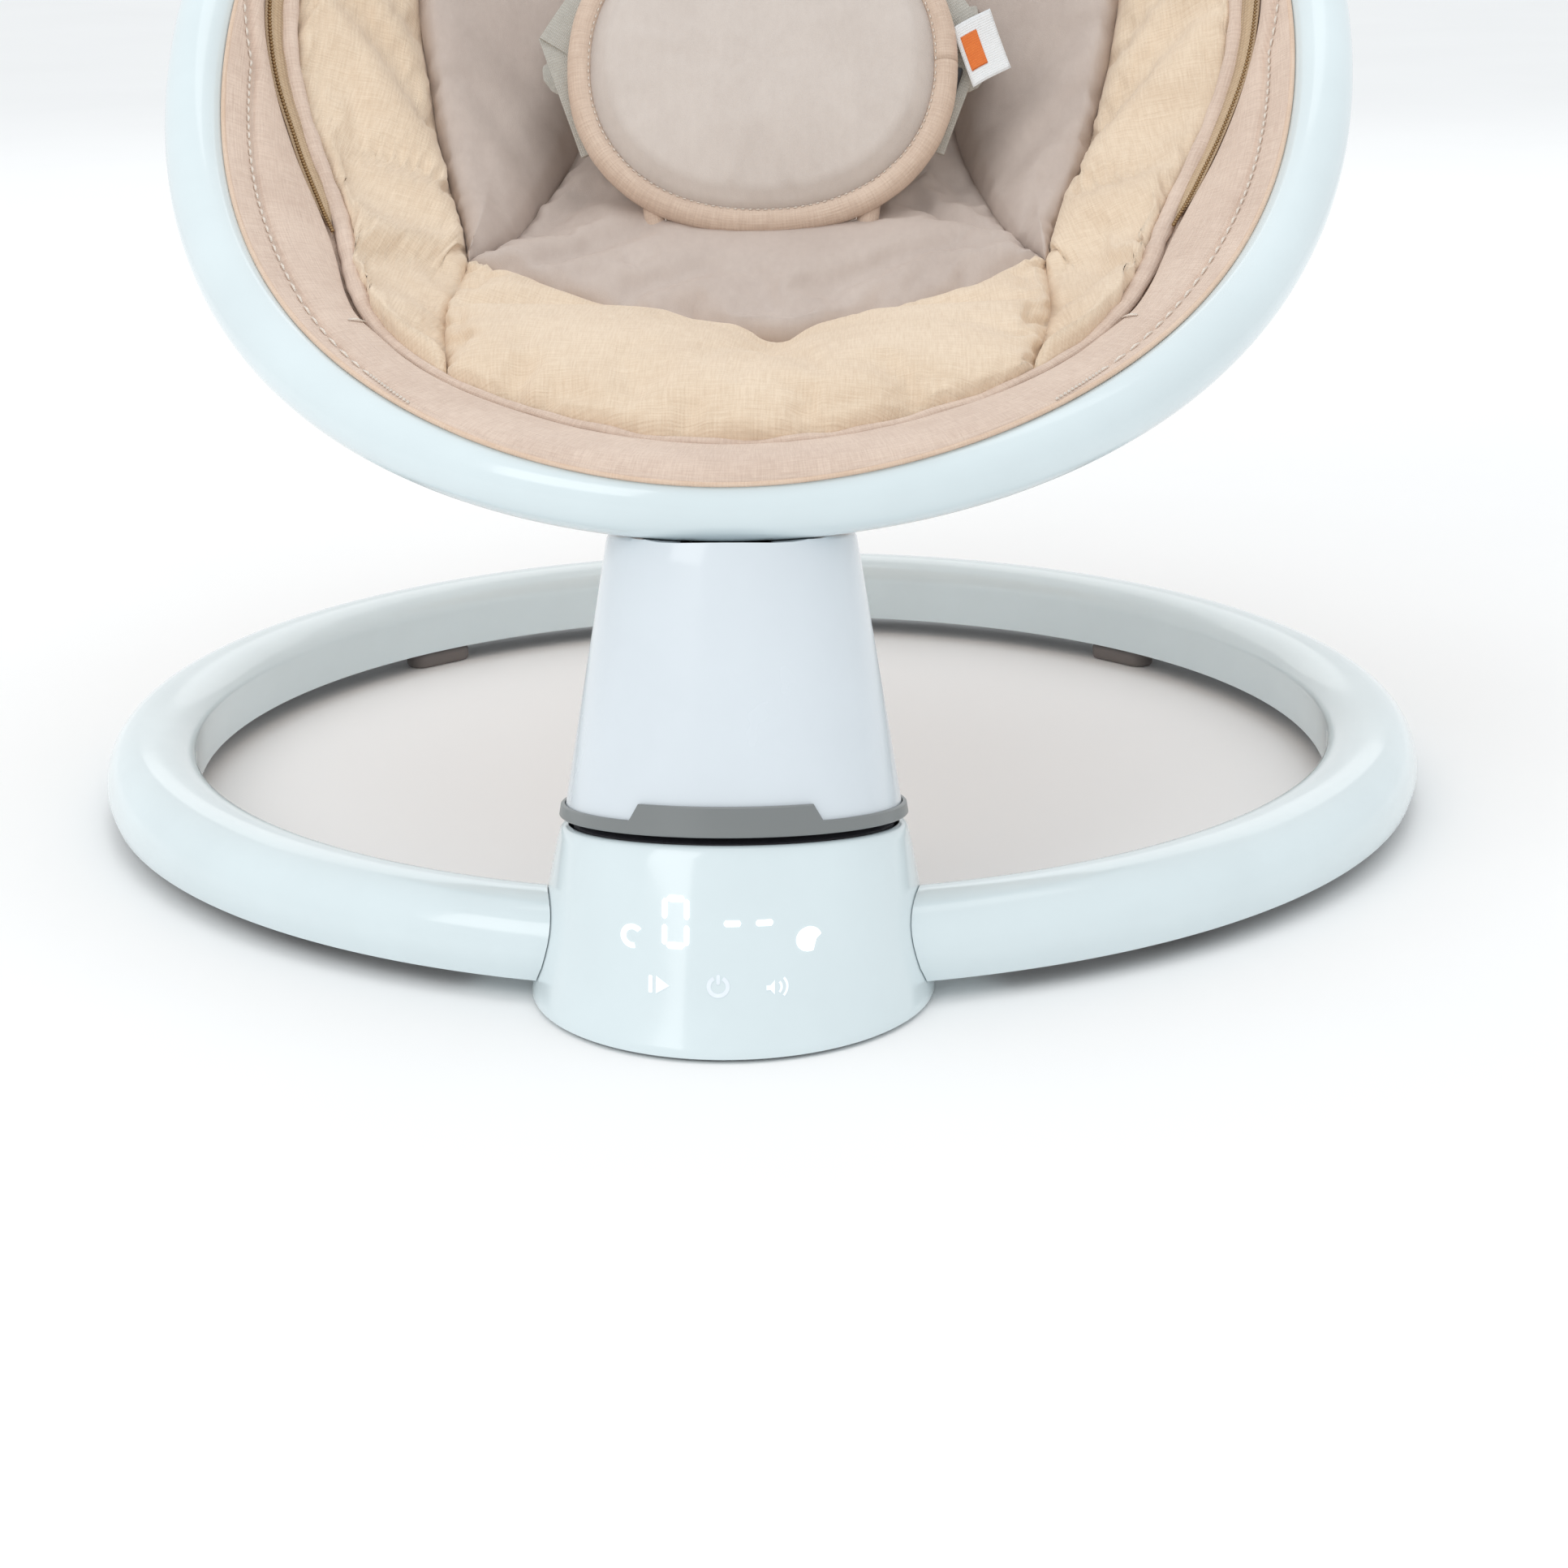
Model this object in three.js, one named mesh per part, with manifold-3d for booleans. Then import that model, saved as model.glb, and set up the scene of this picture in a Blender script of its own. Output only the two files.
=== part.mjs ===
// A baby swing: a ring-shaped floor base, a motor housing with a leaning column, and an oval seat frame
// that holds a fabric sling, a padded liner and a five-point harness.
// Millimetres, +Z up. The front of the swing faces -Y. The origin is on the floor, in the middle of the
// swing's footprint.
import * as THREE from "three";
import { mergeVertices } from "three/addons/utils/BufferGeometryUtils.js";
import Module from "manifold-3d";

const wasm = await Module();
wasm.setup();

// ---------------------------------------------------------------- driving dimensions
const RING_CENTRE_Y = -14; // centre of the floor ring, from the middle of the footprint
const GAP = 0.4; // clearance between touching pieces

const RING_OUTER_R = 260;
const RING_INNER_R = 225;
const RING_HEIGHT = 27;
const RING_WALL = 2.6;
const RING_BACK_ANGLE = 90; // where the two halves of the ring meet, in degrees
const RING_FRONT_ANGLE = 270;
const RING_HOUSING_REACH = 4; // degrees that each half stops short of the front, in the housing
const SPIGOT_REACH = 23; // degrees of the ring that the steel spigots run along
const FOOT_HEIGHT = 7;
const FOOT_LENGTH = 31;
const FOOT_WIDTH = 13;
const FOOT_MID_R = 233.5; // near the ring's inner wall
const FOOT_ANGLES = { front_left: 231, front_right: 309, rear_left: 132, rear_right: 48 };

const AXIS_LEAN = THREE.MathUtils.degToRad(10.1); // the swing axis leans back
const AXIS_Y = RING_CENTRE_Y - 225; // where the swing axis meets the floor
const HOUSING_FOOT_R = 68;
const HOUSING_RIM_R = 58;
const HOUSING_RIM_AT = 53.2; // along the swing axis
const HOUSING_FORWARD = 11; // how far its foot stands in front of the swing axis
const HOUSING_WALL = 2.8;

const BAND_AT = 56; // along the swing axis
const BAND_HEIGHT = 4.3;
const BAND_R = 58.8;
const BAND_TAB_HEIGHT = 9.8;
const COLUMN_R = 57.2;
const COLUMN_TOP_R = 41.5;
const COLUMN_TOP_AT = 150.5;
const COLUMN_WALL = 2.8;

const SPINDLE_R = 10;
const BEARING_R = 17;
const BEARING_HEIGHT = 9;
const BEARINGS_AT = { lower: 16, upper: 42 };
const BEARING_CLEARANCE = 0.3; // the facets of a shaft need more room than a round one
const DRIVE_REACH = 40; // from the swing axis back to the drive magnet

const TUBE_R = 12;
const TUBE_WALL = 1.5;
const FRAME_HALF_WIDTH = 220;
const FRAME_FRONT_LENGTH = 316; // from the front of the seat frame to its widest place
const FRAME_BACK_LENGTH = 334;
const FRAME_POWER = 1.95; // how square the oval is
const FRAME_FRONT_Y = RING_CENTRE_Y - 227;
const FRAME_FRONT_Z = 163.9;
const FRAME_FRONT_SLOPE = THREE.MathUtils.degToRad(15.4);
const FRAME_SIDE_R = 1000; // the frame curves upwards along its length
const FRAME_STRAIGHT_FROM = 440; // along it, where it runs straight again
const CONNECTOR_ANGLE = THREE.MathUtils.degToRad(10.5); // round the oval, from its widest place

const RECLINE_Y = RING_CENTRE_Y - 198;
const RECLINE_Z = 122;
const PIN_R = 4;
const BUTTON_AT = 122; // along the swing axis

const SLING_THICKNESS = 2;
const LINER_DEPTH = 91;
const LINER_THICKNESS = 24;
const LINER_GAP = 1.5; // between the liner and the sling it lies in

// ---------------------------------------------------------------- materials
const material = (color, roughness, metalness = 0) =>
  new THREE.MeshStandardMaterial({ color, roughness, metalness });
const whitePlastic = material(0xe4eef2, 0.22);
const columnPlastic = material(0xe6e9f1, 0.3);
const greySatin = material(0x8a8e8d, 0.4, 0.4);
const darkPlastic = material(0x2b2b2d, 0.6);
const rubber = material(0x7d7472, 0.85);
const steel = material(0xb9bcc0, 0.35, 1);
const copper = material(0xb06a3a, 0.4, 1);
const boardGreen = material(0x2f6b45, 0.6);
const slingLinen = material(0xd8bda8, 0.95);
const linerFabric = material(0xe3cba8, 0.95);
const velour = material(0xcdc1ba, 0.95);
const webbing = material(0xb5b0a6, 0.9);
const labelWhite = material(0xf2f2f2, 0.8);

// ---------------------------------------------------------------- solids from loops and booleans
// A closed body from loops of points. Each loop has the same number of points, and runs anticlockwise
// seen from the end. A loop of one point closes an end; otherwise caps closes it with flat triangles.
function loft(loops, caps = null) {
  const position = [];
  const starts = [];
  for (const loop of loops) {
    starts.push(position.length / 3);
    for (const p of loop) position.push(p.x, p.y, p.z);
  }
  const index = [];
  for (let i = 0; i < loops.length - 1; i++) {
    const next = i + 1;
    const a = starts[i];
    const b = starts[next];
    const n = Math.max(loops[i].length, loops[next].length);
    for (let k = 0; k < n; k++) {
      const m = (k + 1) % n;
      if (loops[i].length === 1) index.push(a, b + m, b + k);
      else if (loops[next].length === 1) index.push(a + k, a + m, b);
      else index.push(a + k, a + m, b + m, a + k, b + m, b + k);
    }
  }
  if (caps) {
    const last = starts[loops.length - 1];
    for (const [p, q, r] of caps) {
      index.push(p, r, q);
      index.push(last + p, last + q, last + r);
    }
  }
  const geometry = new THREE.BufferGeometry();
  geometry.setAttribute("position", new THREE.Float32BufferAttribute(position, 3));
  geometry.setIndex(index);
  return geometry;
}

function toSolid(geometry) {
  const bare = geometry.clone();
  bare.deleteAttribute("normal");
  bare.deleteAttribute("uv");
  const merged = mergeVertices(bare, 1e-4);
  const made = new wasm.Manifold(
    new wasm.Mesh({
      numProp: 3,
      vertProperties: merged.getAttribute("position").array,
      triVerts: new Uint32Array(merged.index.array),
    }),
  );
  if (made.volume() >= 0) return made;
  const flipped = merged.index.array.slice();
  for (let i = 0; i < flipped.length; i += 3) {
    [flipped[i + 1], flipped[i + 2]] = [flipped[i + 2], flipped[i + 1]];
  }
  return new wasm.Manifold(
    new wasm.Mesh({
      numProp: 3,
      vertProperties: merged.getAttribute("position").array,
      triVerts: new Uint32Array(flipped),
    }),
  );
}

function toGeometry(solid) {
  const mesh = solid.getMesh();
  const geometry = new THREE.BufferGeometry();
  geometry.setAttribute("position", new THREE.BufferAttribute(mesh.vertProperties, 3));
  geometry.setIndex(new THREE.BufferAttribute(mesh.triVerts, 1));
  return geometry;
}

const cut = (geometry, ...tools) =>
  toGeometry(tools.reduce((solid, tool) => solid.subtract(toSolid(tool)), toSolid(geometry)));
const join = (...geometries) =>
  toGeometry(geometries.map(toSolid).reduce((solid, other) => solid.add(other)));

const swing = new THREE.Group();
function addPiece(name, geometry, look) {
  const mesh = new THREE.Mesh(toGeometry(toSolid(geometry)), look);
  mesh.name = name;
  swing.add(mesh);
  return mesh;
}

// ---------------------------------------------------------------- simple shapes, placed
function box(width, depth, height, x, y, z) {
  return new THREE.BoxGeometry(width, depth, height).translate(x, y, z);
}

// A turned piece about the +Z axis from [radius, height] points that start and end on the axis.
function turned(profile, segments = 32) {
  const points = profile.map(([r, z]) => new THREE.Vector2(r, z));
  return new THREE.LatheGeometry(points, segments).rotateX(Math.PI / 2);
}

const rod = (r, from, to, segments = 24) =>
  turned([[0, from], [r, from], [r, to], [0, to]], segments);

const sleeve = (outer, inner, from, to, segments = 24) =>
  cut(rod(outer, from, to, segments), rod(inner, from - 1, to + 1, segments));

const axisPoint = (at) =>
  new THREE.Vector3(0, AXIS_Y + at * Math.sin(AXIS_LEAN), at * Math.cos(AXIS_LEAN));

// Moves a piece that is built about +Z from the origin onto the leaning swing axis.
const onSwingAxis = (geometry) =>
  geometry.rotateX(-AXIS_LEAN).translate(0, AXIS_Y, 0);

// A rod across the swing, along X.
const crossRod = (r, halfLength, y, z, segments = 16) =>
  rod(r, -halfLength, halfLength, segments).rotateY(Math.PI / 2).translate(0, y, z);

// ---------------------------------------------------------------- the floor ring
// Half of an ellipse-like arch from the inner wall over the crown to the outer foot.
function ringArch(inset, steps) {
  const inner = RING_INNER_R + inset;
  const outer = RING_OUTER_R - inset;
  const top = FOOT_HEIGHT + RING_HEIGHT - inset;
  const crownR = inner + 0.45 * (outer - inner);
  const wallTop = FOOT_HEIGHT + 17;
  const points = [[inner, FOOT_HEIGHT]];
  for (let k = 0; k <= steps; k++) {
    const a = (k / steps) * (Math.PI / 2);
    points.push([crownR - (crownR - inner) * Math.cos(a), wallTop + (top - wallTop) * Math.sin(a)]);
  }
  for (let k = 1; k <= steps + 1; k++) {
    const a = (k / (steps + 1)) * (Math.PI / 2);
    const side = FOOT_HEIGHT + 6;
    points.push([
      crownR + (outer - crownR) * Math.sin(a) ** 0.85,
      side + (top - side) * Math.cos(a) ** 0.85,
    ]);
  }
  points.push([outer - 2, FOOT_HEIGHT]);
  return points;
}

// Sweeps a [radius, height] outline round the floor ring's centre, between two angles in degrees.
function sweptArc(corners, from, to, steps) {
  const turnsLeft = !THREE.ShapeUtils.isClockWise(corners.map(([r, z]) => new THREE.Vector2(r, z)));
  const outline = turnsLeft ? corners : corners.toReversed();
  const loops = [];
  for (let i = 0; i <= steps; i++) {
    const a = THREE.MathUtils.degToRad(from + ((to - from) * i) / steps);
    loops.push(
      outline.map(
        ([r, z]) => new THREE.Vector3(r * Math.cos(a), RING_CENTRE_Y + r * Math.sin(a), z),
      ),
    );
  }
  const contour = outline.map(([r, z]) => new THREE.Vector2(r, z));
  return loft(loops, THREE.ShapeUtils.triangulateShape(contour, []));
}

// Solid housing shape, lofted from its round foot to its leaning rim. Grow moves its wall outwards;
// from and to are shares of its height.
function housingBody(grow, from, to) {
  const loopAt = (share) => {
    const lean = AXIS_LEAN * Math.max(share, 0) ** 1.5;
    const below = Math.max(1 - share, 0); // how far below the rim, as a share
    const r = HOUSING_RIM_R + (HOUSING_FOOT_R - HOUSING_RIM_R) * below ** 0.8 + grow;
    const centre = axisPoint(HOUSING_RIM_AT * share);
    centre.y -= HOUSING_FORWARD * below ** 1.2;
    return Array.from({ length: 36 }, (_, k) => {
      const a = (k / 36) * 2 * Math.PI;
      const back = r * Math.sin(a);
      return new THREE.Vector3(
        r * Math.cos(a),
        centre.y + back * Math.cos(lean),
        centre.z - back * Math.sin(lean),
      );
    });
  };
  const shares = [from, 0.14, 0.32, 0.55, 0.8, to];
  const ends = [from, to].map((share) => [axisPoint(HOUSING_RIM_AT * share)]);
  return loft([ends[0], ...shares.map(loopAt), ends[1]]);
}

// Where the front end of a half of the ring is, in degrees: sign is 1 on the left and -1 on the right.
const ringFrontEnd = (sign) =>
  sign > 0 ? RING_FRONT_ANGLE - RING_HOUSING_REACH : RING_HOUSING_REACH - RING_BACK_ANGLE;

// A rubber foot with round ends, lying along Y.
function footPad() {
  const r = FOOT_WIDTH / 2;
  const reach = FOOT_LENGTH / 2 - r;
  const profile = [[0, 0], [r - 1.5, 0], [r, 1.5], [r, FOOT_HEIGHT - GAP], [0, FOOT_HEIGHT - GAP]];
  const ends = [-reach, reach].map((y) => toSolid(turned(profile, 16).translate(0, y, 0)));
  return toGeometry(wasm.Manifold.hull(ends));
}

function addFloorRing() {
  const shell = [...ringArch(0, 3), ...ringArch(RING_WALL, 2).reverse()];
  const spigot = [[233, 12], [252, 12], [252, 24], [233, 24]];
  const cover = [[228.2, FOOT_HEIGHT], [254.6, FOOT_HEIGHT], [254.6, 9.4], [228.2, 9.4]];
  const joint = 0.06; // half of the hairline between the two halves, in degrees
  for (const [side, sign] of [["left", 1], ["right", -1]]) {
    const back = RING_BACK_ANGLE + sign * joint;
    const front = ringFrontEnd(sign);
    const arm = sweptArc(shell, back, front, 28);
    addPiece(`base_ring_${side}`, cut(arm, housingBody(GAP, -0.05, 1)), whitePlastic);
    const lid = sweptArc(cover, back + sign * 3, front - sign * 17, 24);
    addPiece(`ring_cover_${side}`, lid, darkPlastic);
    const outerEnd = front - sign * SPIGOT_REACH;
    addPiece(`ring_spigot_${side}`, sweptArc(spigot, outerEnd, front - sign * 9, 5), steel);
  }
  const joiner = [[230.5, 10.5], [250, 10.5], [250, 26], [230.5, 26]];
  addPiece("ring_joiner", sweptArc(joiner, 84, 96, 4), darkPlastic);
  for (const [corner, degrees] of Object.entries(FOOT_ANGLES)) {
    const a = THREE.MathUtils.degToRad(degrees);
    const foot = footPad().rotateZ(a);
    foot.translate(FOOT_MID_R * Math.cos(a), RING_CENTRE_Y + FOOT_MID_R * Math.sin(a), 0);
    addPiece(`foot_${corner}`, foot, rubber);
  }
}

// ---------------------------------------------------------------- the motor housing
// A curved sheet of clear plastic behind the front wall, which spreads the light of the display.
function lightGuide() {
  const outside = toSolid(housingBody(-HOUSING_WALL - GAP, 0.05, 1));
  const layer = outside.subtract(toSolid(housingBody(-HOUSING_WALL - 3.4, 0, 1.05)));
  return toGeometry(layer.intersect(toSolid(box(66, 60, 32, 0, AXIS_Y - 58, 27))));
}

function addHousing() {
  const inside = housingBody(-HOUSING_WALL, -0.05, 1.05);
  const slot = [[232.4, 11.4], [252.6, 11.4], [252.6, 24.6], [232.4, 24.6]];
  const slots = [1, -1].map((sign) =>
    sweptArc(slot, ringFrontEnd(sign) - sign * 16, ringFrontEnd(sign), 4));
  const jackHole = rod(5.4, -7, 7, 16).rotateX(Math.PI / 2).translate(30, AXIS_Y + 52, 16);
  addPiece(
    "housing_shell",
    cut(housingBody(0, 0.02, 1), inside, ...slots, jackHole),
    whitePlastic,
  );
  const footY = AXIS_Y - 0.93 * HOUSING_FORWARD;
  addPiece("base_plate", rod(60, 2.6, 5.4, 32).translate(0, footY, 0), darkPlastic);
  addPiece("base_pad", rod(58, 0, 2.2, 36).translate(0, footY, 0), rubber);

  const carrier = join(
    onSwingAxis(rod(24, 6, 50, 20)),
    rod(28, 5, 9.5, 20).translate(0, AXIS_Y, 0),
  );
  const boreForBearings = onSwingAxis(rod(BEARING_R + GAP, -5, 55, 20));
  const armWindow = onSwingAxis(box(34, 60, 9, 0, 38, 33.4));
  const floorCut = box(90, 90, 5.8, 0, AXIS_Y, 2.9);
  addPiece("bearing_carrier", cut(carrier, boreForBearings, armWindow, floorCut), darkPlastic);
  for (const [name, at] of Object.entries(BEARINGS_AT)) {
    const from = at - BEARING_HEIGHT / 2;
    const bearing = sleeve(BEARING_R, SPINDLE_R + BEARING_CLEARANCE, from, from + BEARING_HEIGHT, 20);
    addPiece(`bearing_${name}`, onSwingAxis(bearing), steel);
  }
  const coil = sleeve(11, 5, 17.4, 24.6, 16).translate(0, DRIVE_REACH, 0);
  addPiece("drive_coil", onSwingAxis(coil), copper);
  const speaker = turned([[0, 6], [12, 6], [15, 9], [15, 12], [9, 13], [9, 20], [0, 20]], 16);
  addPiece("speaker", speaker.translate(-42, AXIS_Y + 12, 0), darkPlastic);
  addPiece("control_board", box(1.6, 30, 20, 42, AXIS_Y + 20, 19), boardGreen);
  addPiece("display_board", box(60, 1.6, 30, 0, AXIS_Y - 31.5, 26), boardGreen);
  addPiece("light_guide", lightGuide(), whitePlastic);
  const jack = rod(5, 0, 13, 16).rotateX(Math.PI / 2).translate(30, AXIS_Y + 53, 16);
  const socket = rod(3.5, -1, 11, 16).rotateX(Math.PI / 2).translate(30, AXIS_Y + 53, 16);
  addPiece("power_jack", cut(jack, socket), darkPlastic);
}

// ---------------------------------------------------------------- the column, which swings
function columnBody(grow, from, to) {
  const slope = (COLUMN_TOP_R - COLUMN_R) / (COLUMN_TOP_AT - BAND_AT);
  const radius = (at) => COLUMN_R + grow + slope * (at - BAND_AT);
  return turned([[0, from], [radius(from), from], [radius(to), to], [0, to]], 40);
}

function trimBand() {
  const ring = sleeve(BAND_R, COLUMN_R + 0.5, BAND_AT, BAND_AT + BAND_HEIGHT, 40);
  const tallRing = cut(
    turned([
      [0, BAND_AT],
      [BAND_R, BAND_AT],
      [BAND_R - 1, BAND_AT + BAND_TAB_HEIGHT],
      [0, BAND_AT + BAND_TAB_HEIGHT],
    ], 40),
    columnBody(0.5, BAND_AT - 2, BAND_AT + BAND_TAB_HEIGHT + 2),
  );
  const tab = new THREE.Shape();
  tab.moveTo(-32, 0).lineTo(32, 0).lineTo(32, BAND_HEIGHT);
  tab.lineTo(29.4, BAND_TAB_HEIGHT).lineTo(-29.4, BAND_TAB_HEIGHT).lineTo(-32, BAND_HEIGHT);
  const tabBlock = new THREE.ExtrudeGeometry(tab, { depth: 40, bevelEnabled: false })
    .rotateX(Math.PI / 2)
    .translate(0, -35, BAND_AT);
  const tabPart = toSolid(tallRing).intersect(toSolid(tabBlock));
  return toGeometry(toSolid(ring).add(tabPart));
}

function addColumn() {
  const buttonWindow = rod(10.4, 20, 60, 24).rotateX(-Math.PI / 2).translate(0, 0, BUTTON_AT);
  const knuckleSlot = box(30, 60, 20, 0, -4, COLUMN_TOP_AT);
  const shell = onSwingAxis(cut(
    columnBody(0, BAND_AT, COLUMN_TOP_AT),
    columnBody(-COLUMN_WALL, BAND_AT - 1, COLUMN_TOP_AT - COLUMN_WALL),
    knuckleSlot,
    buttonWindow,
  ));
  const tubeGroove = frameTube(TUBE_R + 2, 0, Math.PI * 1.35, Math.PI * 1.65, 8);
  addPiece("column_shell", cut(shell, tubeGroove), columnPlastic);
  addPiece("trim_band", onSwingAxis(trimBand()), greySatin);
  const skirt = turned([[0, 50.4], [45, 50.4], [54.2, 52], [54.2, 53.4], [48, 56.4], [0, 56.4]], 32);
  addPiece("dust_skirt", onSwingAxis(cut(skirt, rod(13, 45, 60, 20))), rubber);
  addPiece("spindle_shaft", onSwingAxis(rod(SPINDLE_R, 8, 100, 20)), steel);
  const arm = join(
    rod(15.6, 31, 35.8, 20),
    box(14, DRIVE_REACH, 4.8, 0, DRIVE_REACH / 2 + 5, 33.4),
  );
  addPiece("magnet_arm", onSwingAxis(cut(arm, rod(SPINDLE_R + GAP, 20, 40, 20))), steel);
  const magnet = rod(9, 25.2, 30.6, 16).translate(0, DRIVE_REACH, 0);
  addPiece("drive_magnet", onSwingAxis(magnet), darkPlastic);
  const nut = cut(rod(14, 58, 66, 6), rod(SPINDLE_R + GAP, 50, 70, 20));
  addPiece("spindle_nut", onSwingAxis(nut), steel);
  const hub = cut(turned([[0, 67], [52, 67], [51, 73], [0, 73]], 32), rod(SPINDLE_R + GAP, 60, 80, 20));
  addPiece("column_hub", onSwingAxis(hub), darkPlastic);
  addReclineHead();
}

// Two cheeks on a disc round the spindle carry the recline pin and guide the recline button.
function addReclineHead() {
  const cheek = (x) => join(
    crossRod(13, 4, RECLINE_Y, RECLINE_Z).translate(x, 0, 0),
    box(8, 32, 32, x, RECLINE_Y + 5, RECLINE_Z - 16),
  );
  const head = join(
    cheek(-18),
    cheek(18),
    onSwingAxis(rod(46.5, 84, 94, 28)),
    onSwingAxis(box(44, 3, 30, 0, 22, BUTTON_AT - 6)),
  );
  const pinHole = crossRod(PIN_R + 0.15, 40, RECLINE_Y, RECLINE_Z);
  const spindleHole = onSwingAxis(rod(SPINDLE_R + GAP, 50, 100.6, 20));
  const stemHole = onSwingAxis(rod(5.4, 10, 30, 12).rotateX(-Math.PI / 2).translate(0, 0, BUTTON_AT));
  addPiece("recline_head", cut(head, pinHole, spindleHole, stemHole), darkPlastic);
  addPiece("recline_pin", crossRod(PIN_R, 24, RECLINE_Y, RECLINE_Z), steel);
}

function addReclineButton() {
  const cap = rod(9.6, 34, 48.6, 20);
  const stem = rod(5, 21.5, 35, 12);
  const button = join(cap, stem).rotateX(-Math.PI / 2).translate(0, 0, BUTTON_AT);
  addPiece("recline_button", onSwingAxis(button), greySatin);
  const turns = 3;
  const spring = new THREE.Curve();
  spring.getPoint = (t) => {
    const a = t * turns * 2 * Math.PI;
    return new THREE.Vector3(7.4 * Math.cos(a), 24.8 + 8.2 * t, 7.4 * Math.sin(a));
  };
  const wire = new THREE.Shape().absarc(0, 0, 0.6, 0, 2 * Math.PI);
  const coil = new THREE.ExtrudeGeometry(wire, {
    extrudePath: spring,
    steps: turns * 10,
    curveSegments: 2,
  });
  addPiece("button_spring", onSwingAxis(coil.translate(0, 0, BUTTON_AT)), steel);
}

// ---------------------------------------------------------------- the seat frame
// A point of the seat's own surface: across, along from the front of the frame, and down from it.
function seatPoint(across, along, down) {
  const curved = Math.min(along, FRAME_STRAIGHT_FROM);
  const straight = along - curved;
  const slope = FRAME_FRONT_SLOPE + curved / FRAME_SIDE_R;
  const rise = FRAME_SIDE_R * (Math.cos(FRAME_FRONT_SLOPE) - Math.cos(slope));
  const run = FRAME_SIDE_R * (Math.sin(slope) - Math.sin(FRAME_FRONT_SLOPE));
  return new THREE.Vector3(
    across,
    FRAME_FRONT_Y + run + straight * Math.cos(slope) + down * Math.sin(slope),
    FRAME_FRONT_Z + rise + straight * Math.sin(slope) - down * Math.cos(slope),
  );
}

// Across and along on the oval at an angle from its right side; share scales it about its middle.
function ovalAt(angle, share, inset = 0) {
  const power = 2 / FRAME_POWER;
  const c = Math.cos(angle);
  const s = Math.sin(angle);
  const length = s < 0 ? FRAME_FRONT_LENGTH : FRAME_BACK_LENGTH;
  return [
    (FRAME_HALF_WIDTH - inset) * share * Math.sign(c) * Math.abs(c) ** power,
    FRAME_FRONT_LENGTH + (length - inset) * share * Math.sign(s) * Math.abs(s) ** power,
  ];
}

class FrameCurve extends THREE.Curve {
  constructor(from, to) {
    super();
    this.from = from;
    this.to = to;
  }

  getPoint(t) {
    const [across, along] = ovalAt(this.from + (this.to - this.from) * t, 1);
    return seatPoint(across, along, 0);
  }
}

// A round tube, hollow if inner is above 0, along the seat frame between two angles in radians.
function frameTube(outer, inner, from, to, steps, sides = 8) {
  const section = new THREE.Shape().absarc(0, 0, outer, 0, 2 * Math.PI);
  if (inner > 0) section.holes.push(new THREE.Path().absarc(0, 0, inner, 0, 2 * Math.PI, true));
  return new THREE.ExtrudeGeometry(section, {
    extrudePath: new FrameCurve(from, to),
    steps,
    curveSegments: sides,
  });
}

function addSeatFrame() {
  const rightJoint = CONNECTOR_ANGLE;
  const leftJoint = Math.PI - CONNECTOR_ANGLE;
  const hair = 0.003;
  const inner = TUBE_R - TUBE_WALL;
  addPiece(
    "lower_seat_tube",
    frameTube(TUBE_R, inner, leftJoint + hair, 2 * Math.PI + rightJoint - hair, 30),
    whitePlastic,
  );
  addPiece(
    "upper_seat_tube",
    frameTube(TUBE_R, inner, rightJoint + hair, leftJoint - hair, 22),
    whitePlastic,
  );
  const reach = 0.085;
  const connectorRooms = [];
  for (const [side, joint] of [["left", leftJoint], ["right", rightJoint]]) {
    const collar = cut(
      frameTube(TUBE_R + 2.2, 0, joint - reach, joint + reach, 4),
      frameTube(TUBE_R + 0.8, 0, joint - reach - 0.02, joint + reach + 0.02, 4),
    );
    addPiece(`side_connector_${side}`, collar, greySatin);
    connectorRooms.push(frameTube(TUBE_R + 2.8, 0, joint - reach - 0.02, joint + reach + 0.02, 4));
    const plug = frameTube(inner - 0.8, 0, joint - 0.12, joint + 0.12, 4);
    addPiece(`tube_plug_${side}`, plug, darkPlastic);
  }
  return connectorRooms;
}

// The cradle clamps the front of the lower tube and turns on the recline pin.
function addCradle() {
  const plate = new THREE.Shape();
  plate.moveTo(-26, 31.2).lineTo(0.9, 26.5).lineTo(30, 29).lineTo(34, 32);
  plate.lineTo(28, 37.6).lineTo(-26, 38);
  const body = new THREE.ExtrudeGeometry(plate, { depth: 56, bevelEnabled: false })
    .translate(0, 0, -28)
    .rotateY(Math.PI / 2)
    .rotateX(Math.PI / 2)
    .translate(0, RECLINE_Y, RECLINE_Z);
  const knuckle = join(
    crossRod(12, 12.6, RECLINE_Y, RECLINE_Z),
    box(25.2, 22, 31, 0, RECLINE_Y, RECLINE_Z + 15.5),
  );
  const tube = frameTube(TUBE_R + 0.6, 0, Math.PI * 1.35, Math.PI * 1.65, 8);
  const pinHole = crossRod(PIN_R + 0.15, 40, RECLINE_Y, RECLINE_Z);
  addPiece("seat_cradle", cut(join(body, knuckle), tube, pinHole), darkPlastic);
}

// ---------------------------------------------------------------- the fabric seat
const smooth = (low, high, x) => THREE.MathUtils.smoothstep(x, low, high);
const sagAt = (along) => 0.15 + 0.95 * smooth(30, 360, along);

function linerDepth(share, along) {
  return LINER_DEPTH * sagAt(along) * (1 - share ** 2.2);
}

function slingDepth(share, along) {
  return 3 + linerDepth(share, along) + LINER_THICKNESS * (1 - share ** 3);
}

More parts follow.
